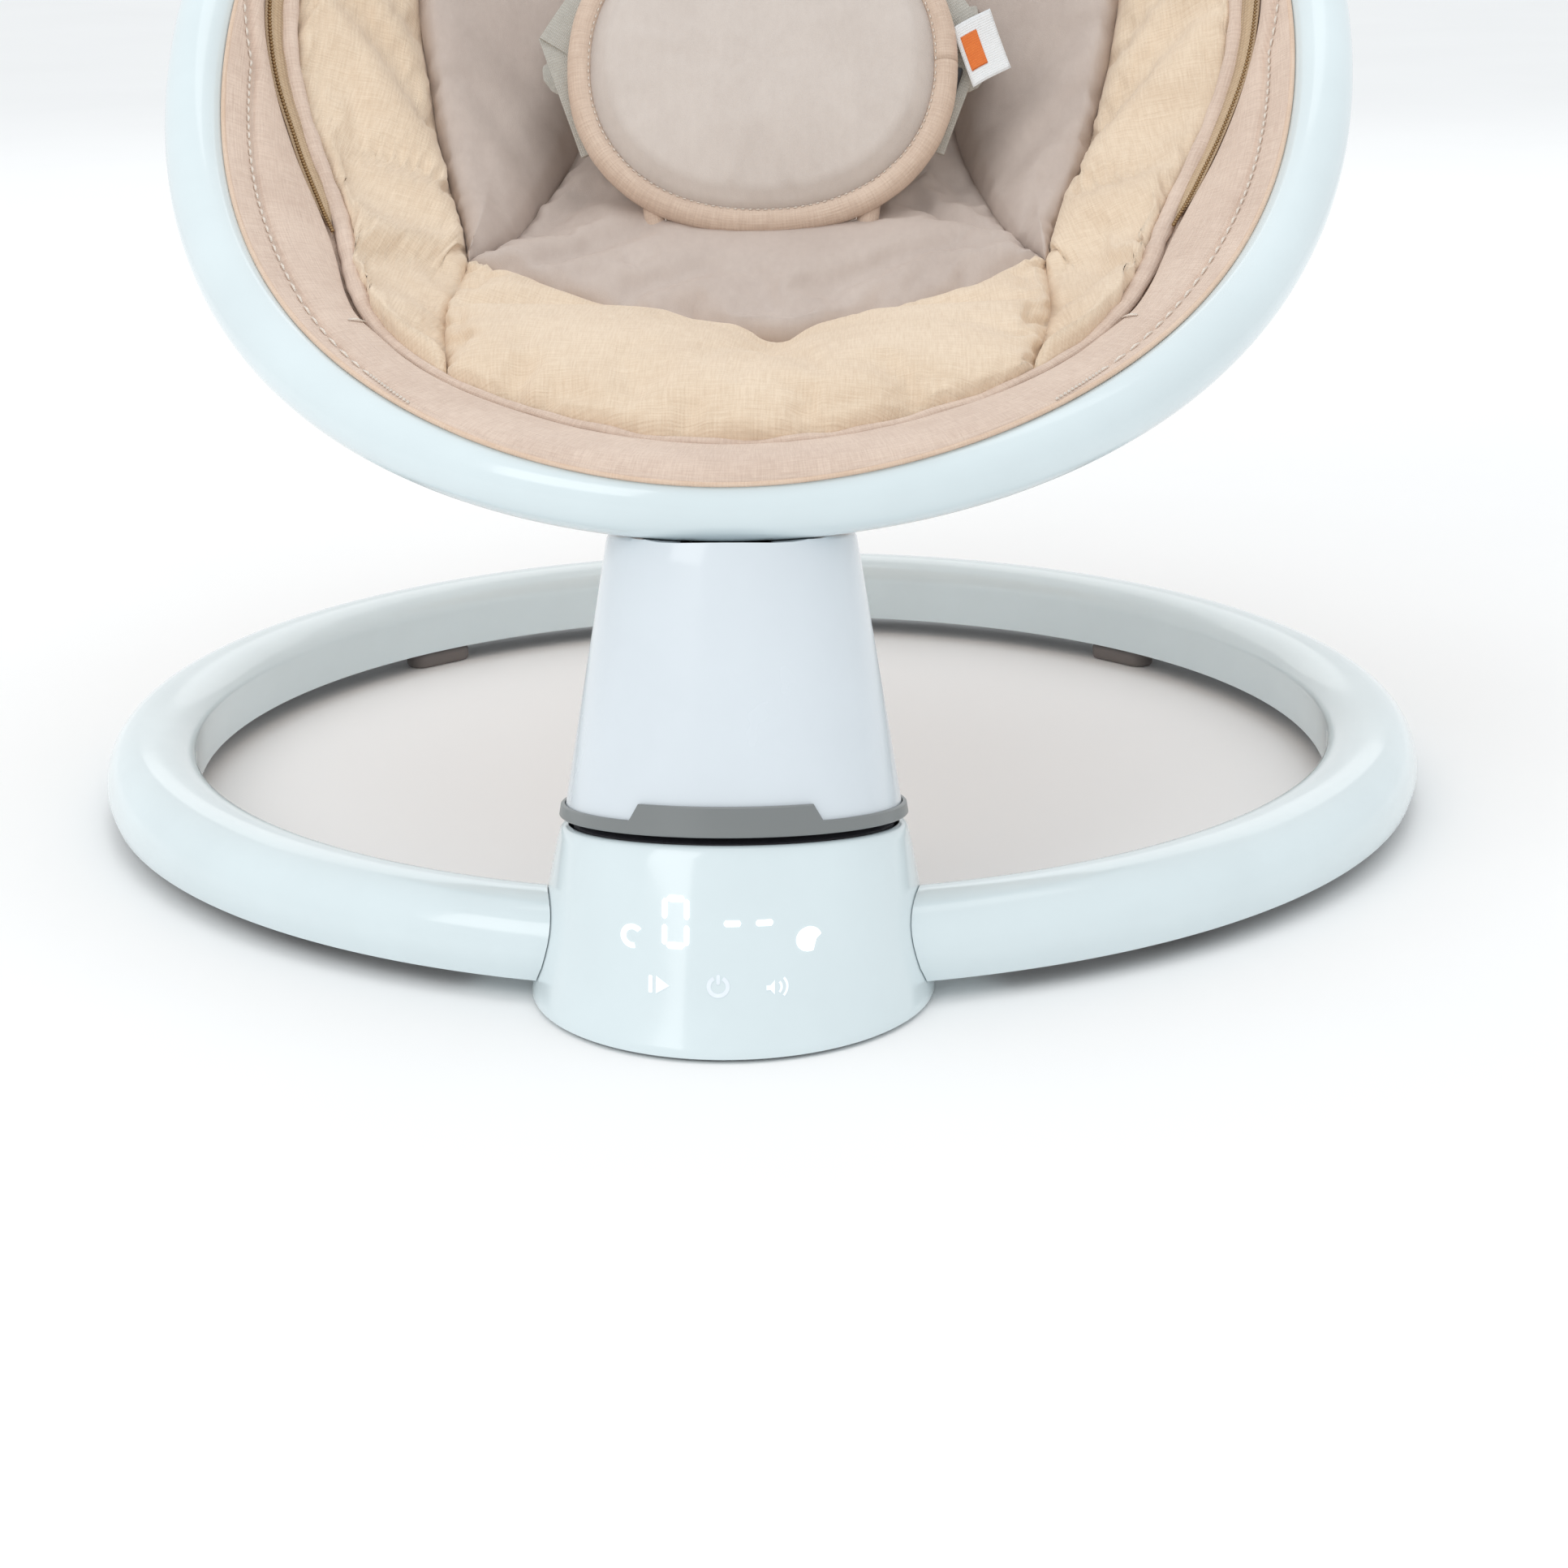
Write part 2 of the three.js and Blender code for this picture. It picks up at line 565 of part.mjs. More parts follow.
// A bowl between two depth functions of (share, along), with a loop at each share of the sling's edge.
function bowl(shares, top, bottom) {
  const loopAt = (share, depth) =>
    Array.from({ length: 32 }, (_, k) => {
      const [across, along] = ovalAt((k / 32) * 2 * Math.PI, share, TUBE_R + 1);
      return seatPoint(across, along, depth(share, along));
    });
  const centre = (depth) => [seatPoint(0, FRAME_FRONT_LENGTH, depth(0, FRAME_FRONT_LENGTH))];
  return loft([
    centre(bottom),
    ...shares.map((share) => loopAt(share, bottom)),
    ...shares.toReversed().map((share) => loopAt(share, top)),
    centre(top),
  ]);
}

const LINER_SHARES = [0.15, 0.3, 0.45, 0.6, 0.75, 0.9];

function addFabricSeat(connectorRooms) {
  const underside = (share, along) => slingDepth(share, along) + SLING_THICKNESS;
  const sling = bowl([...LINER_SHARES, 1], slingDepth, underside);
  addPiece("seat_sling", cut(sling, ...connectorRooms), slingLinen);
  const edgeLift = (share, along) => 8 * share ** 2 * (1 - 0.5 * smooth(300, 600, along));
  const liner = bowl(
    LINER_SHARES,
    (share, along) => linerDepth(share, along) - edgeLift(share, along),
    (share, along) => slingDepth(share, along) - LINER_GAP,
  );
  addPiece("seat_liner", liner, linerFabric);
}

// ---------------------------------------------------------------- the harness
const PAD_FOOT = new THREE.Vector3(0, RING_CENTRE_Y + 47, 217);
const PAD_LEAN = THREE.MathUtils.degToRad(29);
const PAD_HEIGHT = 142;
const PAD_HALF_WIDTH = 79;
const PAD_THICKNESS = 12;
const LABEL_TILT = THREE.MathUtils.degToRad(32);

// Moves a shape drawn with x across and z up the belly pad, y behind it, into place.
const onPad = (geometry) => geometry.rotateX(-PAD_LEAN).translate(...PAD_FOOT.toArray());

function addBellyPad() {
  const outline = new THREE.Shape();
  outline.moveTo(-38, -9).lineTo(38, -9).lineTo(46, 6);
  outline.bezierCurveTo(66, 14, PAD_HALF_WIDTH, 42, PAD_HALF_WIDTH, 66);
  outline.bezierCurveTo(PAD_HALF_WIDTH, 108, 46, PAD_HEIGHT, 0, PAD_HEIGHT);
  outline.bezierCurveTo(-46, PAD_HEIGHT, -PAD_HALF_WIDTH, 108, -PAD_HALF_WIDTH, 66);
  outline.bezierCurveTo(-PAD_HALF_WIDTH, 42, -66, 14, -46, 6);
  const pad = new THREE.ExtrudeGeometry(outline, {
    depth: PAD_THICKNESS,
    bevelEnabled: false,
    curveSegments: 8,
  }).rotateX(Math.PI / 2);
  addPiece("belly_pad", onPad(pad.translate(0, PAD_THICKNESS, 0)), velour);
}

// A flat strap of the given width through points; its face turns towards the front.
function strap(points, width, thickness) {
  const curve = new THREE.CatmullRomCurve3(points);
  const corners = [[-1, -1], [1, -1], [1, 1], [-1, 1]];
  const steps = 20;
  const loops = [];
  for (let i = 0; i <= steps; i++) {
    const p = curve.getPoint(i / steps);
    const along = curve.getTangent(i / steps);
    const face = new THREE.Vector3(0, -Math.cos(PAD_LEAN), Math.sin(PAD_LEAN));
    const side = new THREE.Vector3().crossVectors(along, face).normalize();
    const normal = new THREE.Vector3().crossVectors(side, along).normalize();
    loops.push(
      corners.map(([a, b]) => p.clone()
        .addScaledVector(normal, (a * thickness) / 2)
        .addScaledVector(side, (b * width) / 2)),
    );
  }
  return loft(loops, [[0, 1, 2], [0, 2, 3]]);
}

function linerSurface(across, along, above) {
  const halfWidth = FRAME_HALF_WIDTH - TUBE_R - 1;
  const length = along < FRAME_FRONT_LENGTH ? FRAME_FRONT_LENGTH : FRAME_BACK_LENGTH;
  const u = Math.abs(across) / halfWidth;
  const v = Math.abs(along - FRAME_FRONT_LENGTH) / (length - TUBE_R - 1);
  const share = (u ** FRAME_POWER + v ** FRAME_POWER) ** (1 / FRAME_POWER);
  return seatPoint(across, along, linerDepth(share, along) - above);
}

function addHarness() {
  addBellyPad();
  const buckle = box(40, 13, 46, 0, PAD_THICKNESS + 8, 78);
  const buttonWell = box(22, 20, 16, 0, PAD_THICKNESS + 8, 94.2);
  addPiece("harness_buckle", onPad(cut(buckle, buttonWell)), darkPlastic);
  const button = box(21, 11, 12, 0, PAD_THICKNESS + 8, 94.6);
  addPiece("buckle_button", onPad(button), greySatin);
  const behindPad = (x, up, back) =>
    new THREE.Vector3(x, PAD_THICKNESS + back, up).applyAxisAngle(
      new THREE.Vector3(1, 0, 0),
      -PAD_LEAN,
    ).add(PAD_FOOT);
  for (const [side, sign] of [["left", -1], ["right", 1]]) {
    const waist = [
      linerSurface(sign * 76, 398, 16),
      behindPad(sign * 79, 84, 26),
      behindPad(sign * 77, 76, 12),
      behindPad(sign * 54, 73, 9),
      behindPad(sign * 23, 72, 8),
    ];
    addPiece(`waist_strap_${side}`, strap(waist, 25, 1.6), webbing);
    const shoulder = [
      linerSurface(sign * 46, 580, 10),
      linerSurface(sign * 52, 540, 14),
      linerSurface(sign * 54, 470, 26),
      behindPad(sign * 46, 108, 34),
      behindPad(sign * 36, 102, 14),
      behindPad(sign * 32, 90, 8),
    ];
    addPiece(`shoulder_strap_${side}`, strap(shoulder, 22, 1.6), webbing);
  }
  const label = box(18, 0.8, 27, 0, 0, 0).rotateY(-LABEL_TILT).translate(90, 14, 75);
  addPiece("care_label", onPad(label), labelWhite);
}

addFloorRing();
addHousing();
addColumn();
addReclineButton();
const connectorRooms = addSeatFrame();
addCradle();
addFabricSeat(connectorRooms);
addHarness();

export default swing;
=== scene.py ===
"""The looks of the baby swing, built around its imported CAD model. Metres, in the CAD frame: +Z is up and the
front of the swing faces -Y. Pieces repeat the CAD's own curves, so that each sits where its node is."""

import math

import bmesh
import bpy
import numpy as np
from mathutils import Matrix, Vector, noise


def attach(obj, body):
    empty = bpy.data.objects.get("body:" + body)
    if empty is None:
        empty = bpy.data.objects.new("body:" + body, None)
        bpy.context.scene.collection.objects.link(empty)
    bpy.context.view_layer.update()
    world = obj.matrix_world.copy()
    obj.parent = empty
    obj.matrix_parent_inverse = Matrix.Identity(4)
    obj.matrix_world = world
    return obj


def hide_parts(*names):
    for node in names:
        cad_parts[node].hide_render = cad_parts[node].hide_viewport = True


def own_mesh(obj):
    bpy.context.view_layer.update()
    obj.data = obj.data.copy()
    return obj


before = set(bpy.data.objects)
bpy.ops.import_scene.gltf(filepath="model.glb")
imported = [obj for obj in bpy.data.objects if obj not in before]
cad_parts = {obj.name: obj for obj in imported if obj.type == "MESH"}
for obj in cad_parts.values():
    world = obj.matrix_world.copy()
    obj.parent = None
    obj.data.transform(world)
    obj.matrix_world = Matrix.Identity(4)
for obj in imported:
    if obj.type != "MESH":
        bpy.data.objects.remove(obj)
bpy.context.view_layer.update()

MM = 0.001

# ------------------------------------------------------------------ the CAD's driving dimensions, in metres
RING_CENTRE_Y = -0.014
RING_OUTER_R = 0.260
RING_INNER_R = 0.225
RING_TOP = 0.034
FOOT_HEIGHT = 0.007
FOOT_LENGTH = 0.031
FOOT_WIDTH = 0.013
FOOT_MID_R = 0.2335
FOOT_ANGLES = {"front_left": 231, "front_right": 309, "rear_left": 132, "rear_right": 48}

AXIS_LEAN = math.radians(10.1)
AXIS_Y = RING_CENTRE_Y - 0.225
HOUSING_FOOT_R = 0.068
HOUSING_RIM_R = 0.058
HOUSING_RIM_AT = 0.0532
HOUSING_FORWARD = 0.011
HOUSING_WALL = 0.0028
BAND_AT = 0.056
BAND_HEIGHT = 0.0043
BAND_TAB_HEIGHT = 0.0098
BAND_R = 0.0588
COLUMN_R = 0.0572
COLUMN_TOP_R = 0.0415
COLUMN_TOP_AT = 0.1505
COLUMN_WALL = 0.0028
BUTTON_AT = 0.122

TUBE_R = 0.012
FRAME_HALF_WIDTH = 0.220
FRAME_FRONT_LENGTH = 0.316
FRAME_BACK_LENGTH = 0.334
FRAME_POWER = 1.95
FRAME_FRONT_Y = RING_CENTRE_Y - 0.227
FRAME_FRONT_Z = 0.1639
FRAME_FRONT_SLOPE = math.radians(15.4)
FRAME_SIDE_R = 1.0
FRAME_STRAIGHT_FROM = 0.440
CONNECTOR_ANGLE = 10.5
FABRIC_INSET = 0.013
BAND_R_ON_TUBE = TUBE_R + 0.0018  # the sling's outer face where it lies on the frame's tube

PAD_FOOT = Vector((0, RING_CENTRE_Y + 0.047, 0.217))
PAD_LEAN = math.radians(29)
PAD_HEIGHT = 0.142
PAD_HALF_WIDTH = 0.079

# ------------------------------------------------------------------ where the fabric's seams run
# Across and along on the seat, from the middle and from the front of its frame.
CORNER = (0.112, 0.226)
BACK_CORNER = (0.074, 0.392)
TOP_CORNER = (0.100, 0.565)
FRONT_SEAM = [(0, 0.172), (0.018, 0.179), (0.042, 0.196), (0.064, 0.206), (0.088, 0.217), CORNER]
SIDE_SEAM = [CORNER, (0.119, 0.262), (0.130, 0.300), (0.139, 0.340), (0.147, 0.383), (0.150, 0.430),
             (0.145, 0.485), (0.128, 0.530), TOP_CORNER]
LOWER_CREASE = [CORNER, (0.101, 0.262), (0.090, 0.305), (0.080, 0.345), BACK_CORNER]
UPPER_CREASE = [BACK_CORNER, (0.078, 0.440), (0.088, 0.500), TOP_CORNER]
BACK_CREASE = [(0, 0.402), (0.040, 0.399), BACK_CORNER]
TOP_SEAM = [(0, 0.590), (0.045, 0.585), TOP_CORNER]
CORNER_SEAM_ANGLE = 33.5  # round the oval from its front, where the corner seams reach the liner's edge
TOP_SEAM_ANGLE = 150
NOTCH_LEAN = 0.010  # how far right of the middle the front seam dips
CLOTH_FRAMES = 20
CLOTH_CAP = 0.012


# ------------------------------------------------------------------ the shape of the seat
def seat_point(across, along, down):
    """Points of the seat, from across and along on its frame and down from it."""
    across, along, down = np.broadcast_arrays(across, along, down)
    curved = np.minimum(along, FRAME_STRAIGHT_FROM)
    straight = along - curved
    slope = FRAME_FRONT_SLOPE + curved / FRAME_SIDE_R
    rise = FRAME_SIDE_R * (math.cos(FRAME_FRONT_SLOPE) - np.cos(slope))
    run = FRAME_SIDE_R * (np.sin(slope) - math.sin(FRAME_FRONT_SLOPE))
    y = FRAME_FRONT_Y + run + straight * np.cos(slope) + down * np.sin(slope)
    z = FRAME_FRONT_Z + rise + straight * np.sin(slope) - down * np.cos(slope)
    return np.stack([across, y, z], axis=-1)


def oval(angle, share, inset=0.0):
    """Across and along at an angle in radians from the oval's front, positive to the right."""
    power = 2 / FRAME_POWER
    side, ahead = np.sin(angle), -np.cos(angle)
    length = np.where(ahead < 0, FRAME_FRONT_LENGTH, FRAME_BACK_LENGTH) - inset
    across = (FRAME_HALF_WIDTH - inset) * share * np.sign(side) * np.abs(side) ** power
    along = FRAME_FRONT_LENGTH + length * share * np.sign(ahead) * np.abs(ahead) ** power
    return across, along


def oval_share(across, along):
    length = np.where(along < FRAME_FRONT_LENGTH, FRAME_FRONT_LENGTH, FRAME_BACK_LENGTH) - FABRIC_INSET
    u = np.abs(across) / (FRAME_HALF_WIDTH - FABRIC_INSET)
    v = np.abs(along - FRAME_FRONT_LENGTH) / length
    return (u**FRAME_POWER + v**FRAME_POWER) ** (1 / FRAME_POWER)


def smooth(low, high, x):
    t = np.clip((x - low) / (high - low), 0, 1)
    return t * t * (3 - 2 * t)


def liner_depth(share, along):
    sag = 0.15 + 0.95 * smooth(0.030, 0.360, along)
    return 0.091 * sag * (1 - np.minimum(share, 1) ** 2.2)


def top_depth(share, along):
    lift = 0.008 * share**2 * (1 - 0.5 * smooth(0.300, 0.600, along))
    return liner_depth(share, along) - lift


def liner_top(across, along):
    return top_depth(oval_share(across, along), along)


def bed_depth(share, along, edge):
    """The sling's depth under the liner; it comes up to meet the liner where that ends."""
    deep = 0.003 + liner_depth(share, along) + 0.024 * (1 - np.minimum(share, 1) ** 3)
    near = top_depth(share, along) + 0.0080
    return near + smooth(0.0, 0.13, edge - share) * (deep - near)


def bump(x, centre, width):
    return np.exp(-(((x - centre) / width) ** 2))


def liner_edge(degrees):
    """The oval share where the padded liner ends; it draws in where the zips run."""
    side = np.abs(degrees)
    drawn_in = 0.126 * bump(side, 67, 23) + 0.048 * (1 - smooth(20, 55, side)) + 0.02 * smooth(90, 150, side)
    return 0.948 - drawn_in


def oval_degrees(across, along):
    """How far round the oval a place is, from its front, in degrees; positive to the right."""
    share = np.maximum(oval_share(across, along), 1e-6)
    length = np.where(along < FRAME_FRONT_LENGTH, FRAME_FRONT_LENGTH, FRAME_BACK_LENGTH) - FABRIC_INSET
    u = across / (share * (FRAME_HALF_WIDTH - FABRIC_INSET))
    v = (along - FRAME_FRONT_LENGTH) / (share * length)
    side = np.sign(u) * np.abs(u) ** (FRAME_POWER / 2)
    ahead = np.sign(v) * np.abs(v) ** (FRAME_POWER / 2)
    return np.degrees(np.arctan2(side, -ahead))


def curve_through(points, count, mirror=False):
    """Evenly spaced points on a smooth curve through the given ones."""
    p = np.array(points, float)
    if mirror:
        p[:, 0] = -p[:, 0]
    padded = np.vstack([2 * p[0] - p[1], p, 2 * p[-1] - p[-2]])
    fine = []
    for i in range(1, len(padded) - 2):
        a, b, c, d = padded[i - 1 : i + 3]
        for t in np.linspace(0, 1, 24, endpoint=False):
            fine.append(
                0.5 * (2 * b + (c - a) * t + (2 * a - 5 * b + 4 * c - d) * t**2
                       + (3 * b - a - 3 * c + d) * t**3)
            )
    fine.append(p[-1])
    return resample(np.array(fine), count)


def resample(line, count):
    steps = np.linalg.norm(np.diff(line, axis=0), axis=1)
    at = np.concatenate([[0], np.cumsum(steps)])
    want = np.linspace(0, at[-1], count)
    return np.stack([np.interp(want, at, line[:, k]) for k in range(line.shape[1])], axis=1)


def unit(v):
    return v / np.maximum(np.linalg.norm(v, axis=-1, keepdims=True), 1e-9)


# ------------------------------------------------------------------ materials
def new_material(name):
    made = bpy.data.materials.new(name)
    made.use_nodes = True
    tree = made.node_tree
    shader = tree.nodes["Principled BSDF"]
    return made, tree, shader


def link(tree, source, target):
    tree.links.new(source, target)


def coordinates(tree, kind, scale):
    """Texture coordinates, stretched by scale."""
    place = tree.nodes.new("ShaderNodeTexCoord")
    mapping = tree.nodes.new("ShaderNodeMapping")
    mapping.inputs["Scale"].default_value = scale
    link(tree, place.outputs[kind], mapping.inputs["Vector"])
    return mapping.outputs["Vector"]


def noise_at(tree, vector, scale, detail=3.0, roughness=0.55):
    made = tree.nodes.new("ShaderNodeTexNoise")
    made.inputs["Scale"].default_value = scale
    made.inputs["Detail"].default_value = detail
    made.inputs["Roughness"].default_value = roughness
    link(tree, vector, made.inputs["Vector"])
    return made.outputs["Fac"]


def wave_at(tree, vector, scale, direction, distortion=0.0):
    made = tree.nodes.new("ShaderNodeTexWave")
    made.bands_direction = direction
    made.inputs["Scale"].default_value = scale
    made.inputs["Distortion"].default_value = distortion
    made.inputs["Detail"].default_value = 1.0
    link(tree, vector, made.inputs["Vector"])
    return made.outputs["Fac"]


def blended(tree, factor, low, high, spread=0.2):
    """A colour between low and high, as the factor goes from below to above a half by the spread."""
    ramp = tree.nodes.new("ShaderNodeValToRGB")
    ramp.color_ramp.elements[0].position = 0.5 - spread
    ramp.color_ramp.elements[0].color = (*low, 1)
    ramp.color_ramp.elements[1].position = 0.5 + spread
    ramp.color_ramp.elements[1].color = (*high, 1)
    link(tree, factor, ramp.inputs["Fac"])
    return ramp.outputs["Color"]


def ranged(tree, factor, low, high):
    made = tree.nodes.new("ShaderNodeMapRange")
    made.inputs["From Min"].default_value = 0.3
    made.inputs["From Max"].default_value = 0.7
    made.inputs["To Min"].default_value = low
    made.inputs["To Max"].default_value = high
    link(tree, factor, made.inputs["Value"])
    return made.outputs["Result"]


def maths(tree, operation, a, b):
    made = tree.nodes.new("ShaderNodeMath")
    made.operation = operation
    for socket, value in zip(made.inputs, (a, b)):
        if isinstance(value, float):
            socket.default_value = value
        else:
            link(tree, value, socket)
    return made.outputs["Value"]


def bump_from(tree, shader, height, distance, strength=0.5):
    made = tree.nodes.new("ShaderNodeBump")
    made.inputs["Strength"].default_value = strength
    made.inputs["Distance"].default_value = distance
    link(tree, height, made.inputs["Height"])
    link(tree, made.outputs["Normal"], shader.inputs["Normal"])


def shaded(colour, by):
    return tuple(min(1.0, c * by) for c in colour)


def moulded_plastic(name, colour, rough, coat=0.0, grain=0.00002, metallic=0.0):
    """Moulded plastic: a faint mottle in its colour, gloss that varies, and a slight ripple."""
    made, tree, shader = new_material(name)
    place = coordinates(tree, "Object", (1, 1, 1))
    broad = noise_at(tree, place, 18, 4)
    fine = noise_at(tree, place, 900, 2)
    link(tree, blended(tree, broad, shaded(colour, 0.965), shaded(colour, 1.02)),
         shader.inputs["Base Color"])
    link(tree, ranged(tree, broad, rough * 0.85, rough * 1.2), shader.inputs["Roughness"])
    shader.inputs["Coat Weight"].default_value = coat
    shader.inputs["Coat Roughness"].default_value = 0.08
    shader.inputs["Metallic"].default_value = metallic
    bump_from(tree, shader, fine, grain, 0.4)
    return made


def linen(name, warp, weft, pitch=0.00062):
    """Plain-woven linen: warp and weft threads of uneven thickness and colour."""
    made, tree, shader = new_material(name)
    across = coordinates(tree, "UV", (1, 0.06, 1))
    along = coordinates(tree, "UV", (0.06, 1, 1))
    flat = coordinates(tree, "UV", (1, 1, 1))
    slub_a = noise_at(tree, across, 1500, 2, 0.7)
    slub_b = noise_at(tree, along, 1500, 2, 0.7)
    cloud = noise_at(tree, flat, 22, 3)
    threads = 1 / pitch / 20 * math.pi
    weave_a = wave_at(tree, flat, threads, "X", 0.6)
    weave_b = wave_at(tree, flat, threads, "Y", 0.6)
    slubs = maths(tree, "MULTIPLY", maths(tree, "ADD", slub_a, slub_b), 0.5)
    tone = maths(tree, "ADD", maths(tree, "MULTIPLY", slubs, 0.72), maths(tree, "MULTIPLY", cloud, 0.28))
    link(tree, blended(tree, tone, weft, warp, 0.085), shader.inputs["Base Color"])
    shader.inputs["Roughness"].default_value = 0.92
    shader.inputs["Sheen Weight"].default_value = 0.18
    shader.inputs["Sheen Roughness"].default_value = 0.5
    weave = maths(tree, "MULTIPLY", weave_a, weave_b)
    height = maths(tree, "ADD", maths(tree, "MULTIPLY", weave, 0.2), slubs)
    bump_from(tree, shader, height, 0.00045, 0.9)
    return made


def velour(name, light, dark):
    """Short-pile velour: brushed patches, a soft sheen and fine fibres."""
    made, tree, shader = new_material(name)
    flat = coordinates(tree, "UV", (1, 1, 1))
    rubbed = coordinates(tree, "UV", (1, 0.45, 1))
    patches = noise_at(tree, rubbed, 34, 4, 0.6)
    fibres = noise_at(tree, flat, 2600, 2, 0.8)
    nap = noise_at(tree, rubbed, 320, 3, 0.65)
    tone = maths(tree, "ADD", maths(tree, "MULTIPLY", patches, 0.5), maths(tree, "MULTIPLY", nap, 0.25))
    tone = maths(tree, "ADD", tone, maths(tree, "MULTIPLY", fibres, 0.25))
    link(tree, blended(tree, tone, dark, light), shader.inputs["Base Color"])
    shader.inputs["Roughness"].default_value = 0.95
    shader.inputs["Sheen Weight"].default_value = 0.55
    shader.inputs["Sheen Roughness"].default_value = 0.35
    shader.inputs["Sheen Tint"].default_value = (*shaded(light, 1.15), 1)
    height = maths(tree, "ADD", maths(tree, "MULTIPLY", fibres, 0.6), maths(tree, "MULTIPLY", nap, 0.6))
    bump_from(tree, shader, height, 0.0004, 0.6)
    return made


def woven_tape(name, light, dark, pitch):
    """Webbing or tape: ribs across its width, crossed by a finer weave."""
    made, tree, shader = new_material(name)
    flat = coordinates(tree, "UV", (1, 1, 1))
    ribs = wave_at(tree, flat, 1 / pitch / 20 * math.pi, "Y", 0.3)
    cross = wave_at(tree, flat, 1.6 / pitch / 20 * math.pi, "X", 0.3)
    cloud = noise_at(tree, flat, 260, 3, 0.7)
    tone = maths(tree, "ADD", maths(tree, "MULTIPLY", ribs, 0.35), maths(tree, "MULTIPLY", cloud, 0.65))
    link(tree, blended(tree, tone, dark, light), shader.inputs["Base Color"])
    shader.inputs["Roughness"].default_value = 0.8
    shader.inputs["Sheen Weight"].default_value = 0.1
    bump_from(tree, shader, maths(tree, "MULTIPLY", ribs, cross), 0.0003, 0.8)
    return made


def metal(name, colour, rough):
    """Plated metal with fine turning marks and patches of duller plating."""
    made, tree, shader = new_material(name)
    place = coordinates(tree, "Object", (1, 1, 6))
    marks = noise_at(tree, place, 420, 3, 0.7)
    patches = noise_at(tree, place, 30, 3)
    link(tree, blended(tree, patches, shaded(colour, 0.9), colour), shader.inputs["Base Color"])
    link(tree, ranged(tree, marks, rough * 0.8, rough * 1.3), shader.inputs["Roughness"])
    shader.inputs["Metallic"].default_value = 1.0
    bump_from(tree, shader, marks, 0.00002, 0.4)
    return made


def lit(name, colour, strength):
    """A sign that glows through the housing, its colour a little uneven."""
    made, tree, shader = new_material(name)
    place = coordinates(tree, "Object", (1, 1, 1))
    uneven = noise_at(tree, place, 260, 2)
    link(tree, blended(tree, uneven, shaded(colour, 0.93), colour), shader.inputs["Base Color"])
    shader.inputs["Emission Color"].default_value = (*colour, 1)
    shader.inputs["Emission Strength"].default_value = strength
    shader.inputs["Roughness"].default_value = 0.4
    return made


LOOKS = {
    "white": moulded_plastic("white_gloss", (0.70, 0.79, 0.815), 0.16, 0.5),
    "column": moulded_plastic("column_gloss", (0.70, 0.755, 0.80), 0.24, 0.35),
    "satin": moulded_plastic("grey_satin", (0.215, 0.228, 0.228), 0.36, 0.1, 0.00003, 0.25),
    "shell": moulded_plastic("connector_shell", (0.66, 0.72, 0.70), 0.3, 0.2),
    "dark": moulded_plastic("dark_plastic", (0.022, 0.022, 0.025), 0.5, 0.0, 0.00006),
    "rubber": moulded_plastic("soft_rubber", (0.19, 0.165, 0.155), 0.8, 0.0, 0.0001),
    "skirt": moulded_plastic("skirt_rubber", (0.035, 0.033, 0.04), 0.55, 0.0, 0.00008),
    "board": moulded_plastic("circuit_board", (0.03, 0.16, 0.07), 0.45, 0.3),
    "steel": metal("plated_steel", (0.62, 0.62, 0.64), 0.3),
    "brass": metal("zip_brass", (0.38, 0.25, 0.13), 0.4),
    "copper": metal("copper_winding", (0.72, 0.33, 0.16), 0.35),
    "frost": moulded_plastic("frosted_guide", (0.8, 0.85, 0.88), 0.5),
    "sling": linen("sling_linen", (0.75, 0.595, 0.49), (0.62, 0.47, 0.38)),
    "edge": linen("sling_edging", (0.78, 0.60, 0.47), (0.68, 0.49, 0.36)),
    "tan": linen("liner_linen", (0.825, 0.672, 0.512), (0.715, 0.558, 0.408)),
    "binding": linen("pad_binding", (0.72, 0.57, 0.46), (0.60, 0.455, 0.36)),
    "velour": velour("seat_velour", (0.62, 0.53, 0.475), (0.49, 0.405, 0.36)),
    "pad": velour("pad_velour", (0.70, 0.63, 0.58), (0.59, 0.52, 0.475)),
    "webbing": woven_tape("strap_webbing", (0.56, 0.54, 0.49), (0.45, 0.43, 0.385), 0.0006),
    "zip_tape": woven_tape("zip_tape", (0.62, 0.46, 0.30), (0.50, 0.35, 0.21), 0.0008),
    "thread": woven_tape("stitch_thread", (0.93, 0.85, 0.76), (0.84, 0.75, 0.66), 0.0004),
    "label": woven_tape("label_cloth", (0.90, 0.91, 0.92), (0.82, 0.83, 0.84), 0.0005),
    "orange": woven_tape("label_orange", (0.86, 0.22, 0.04), (0.76, 0.17, 0.03), 0.0005),
    "lit": lit("display_light", (1.0, 1.0, 1.0), 1.1),
    "dim": lit("display_sign", (0.90, 0.95, 1.0), 0.12),
    "faint": lit("display_faint", (0.82, 0.88, 0.93), 0.03),
}

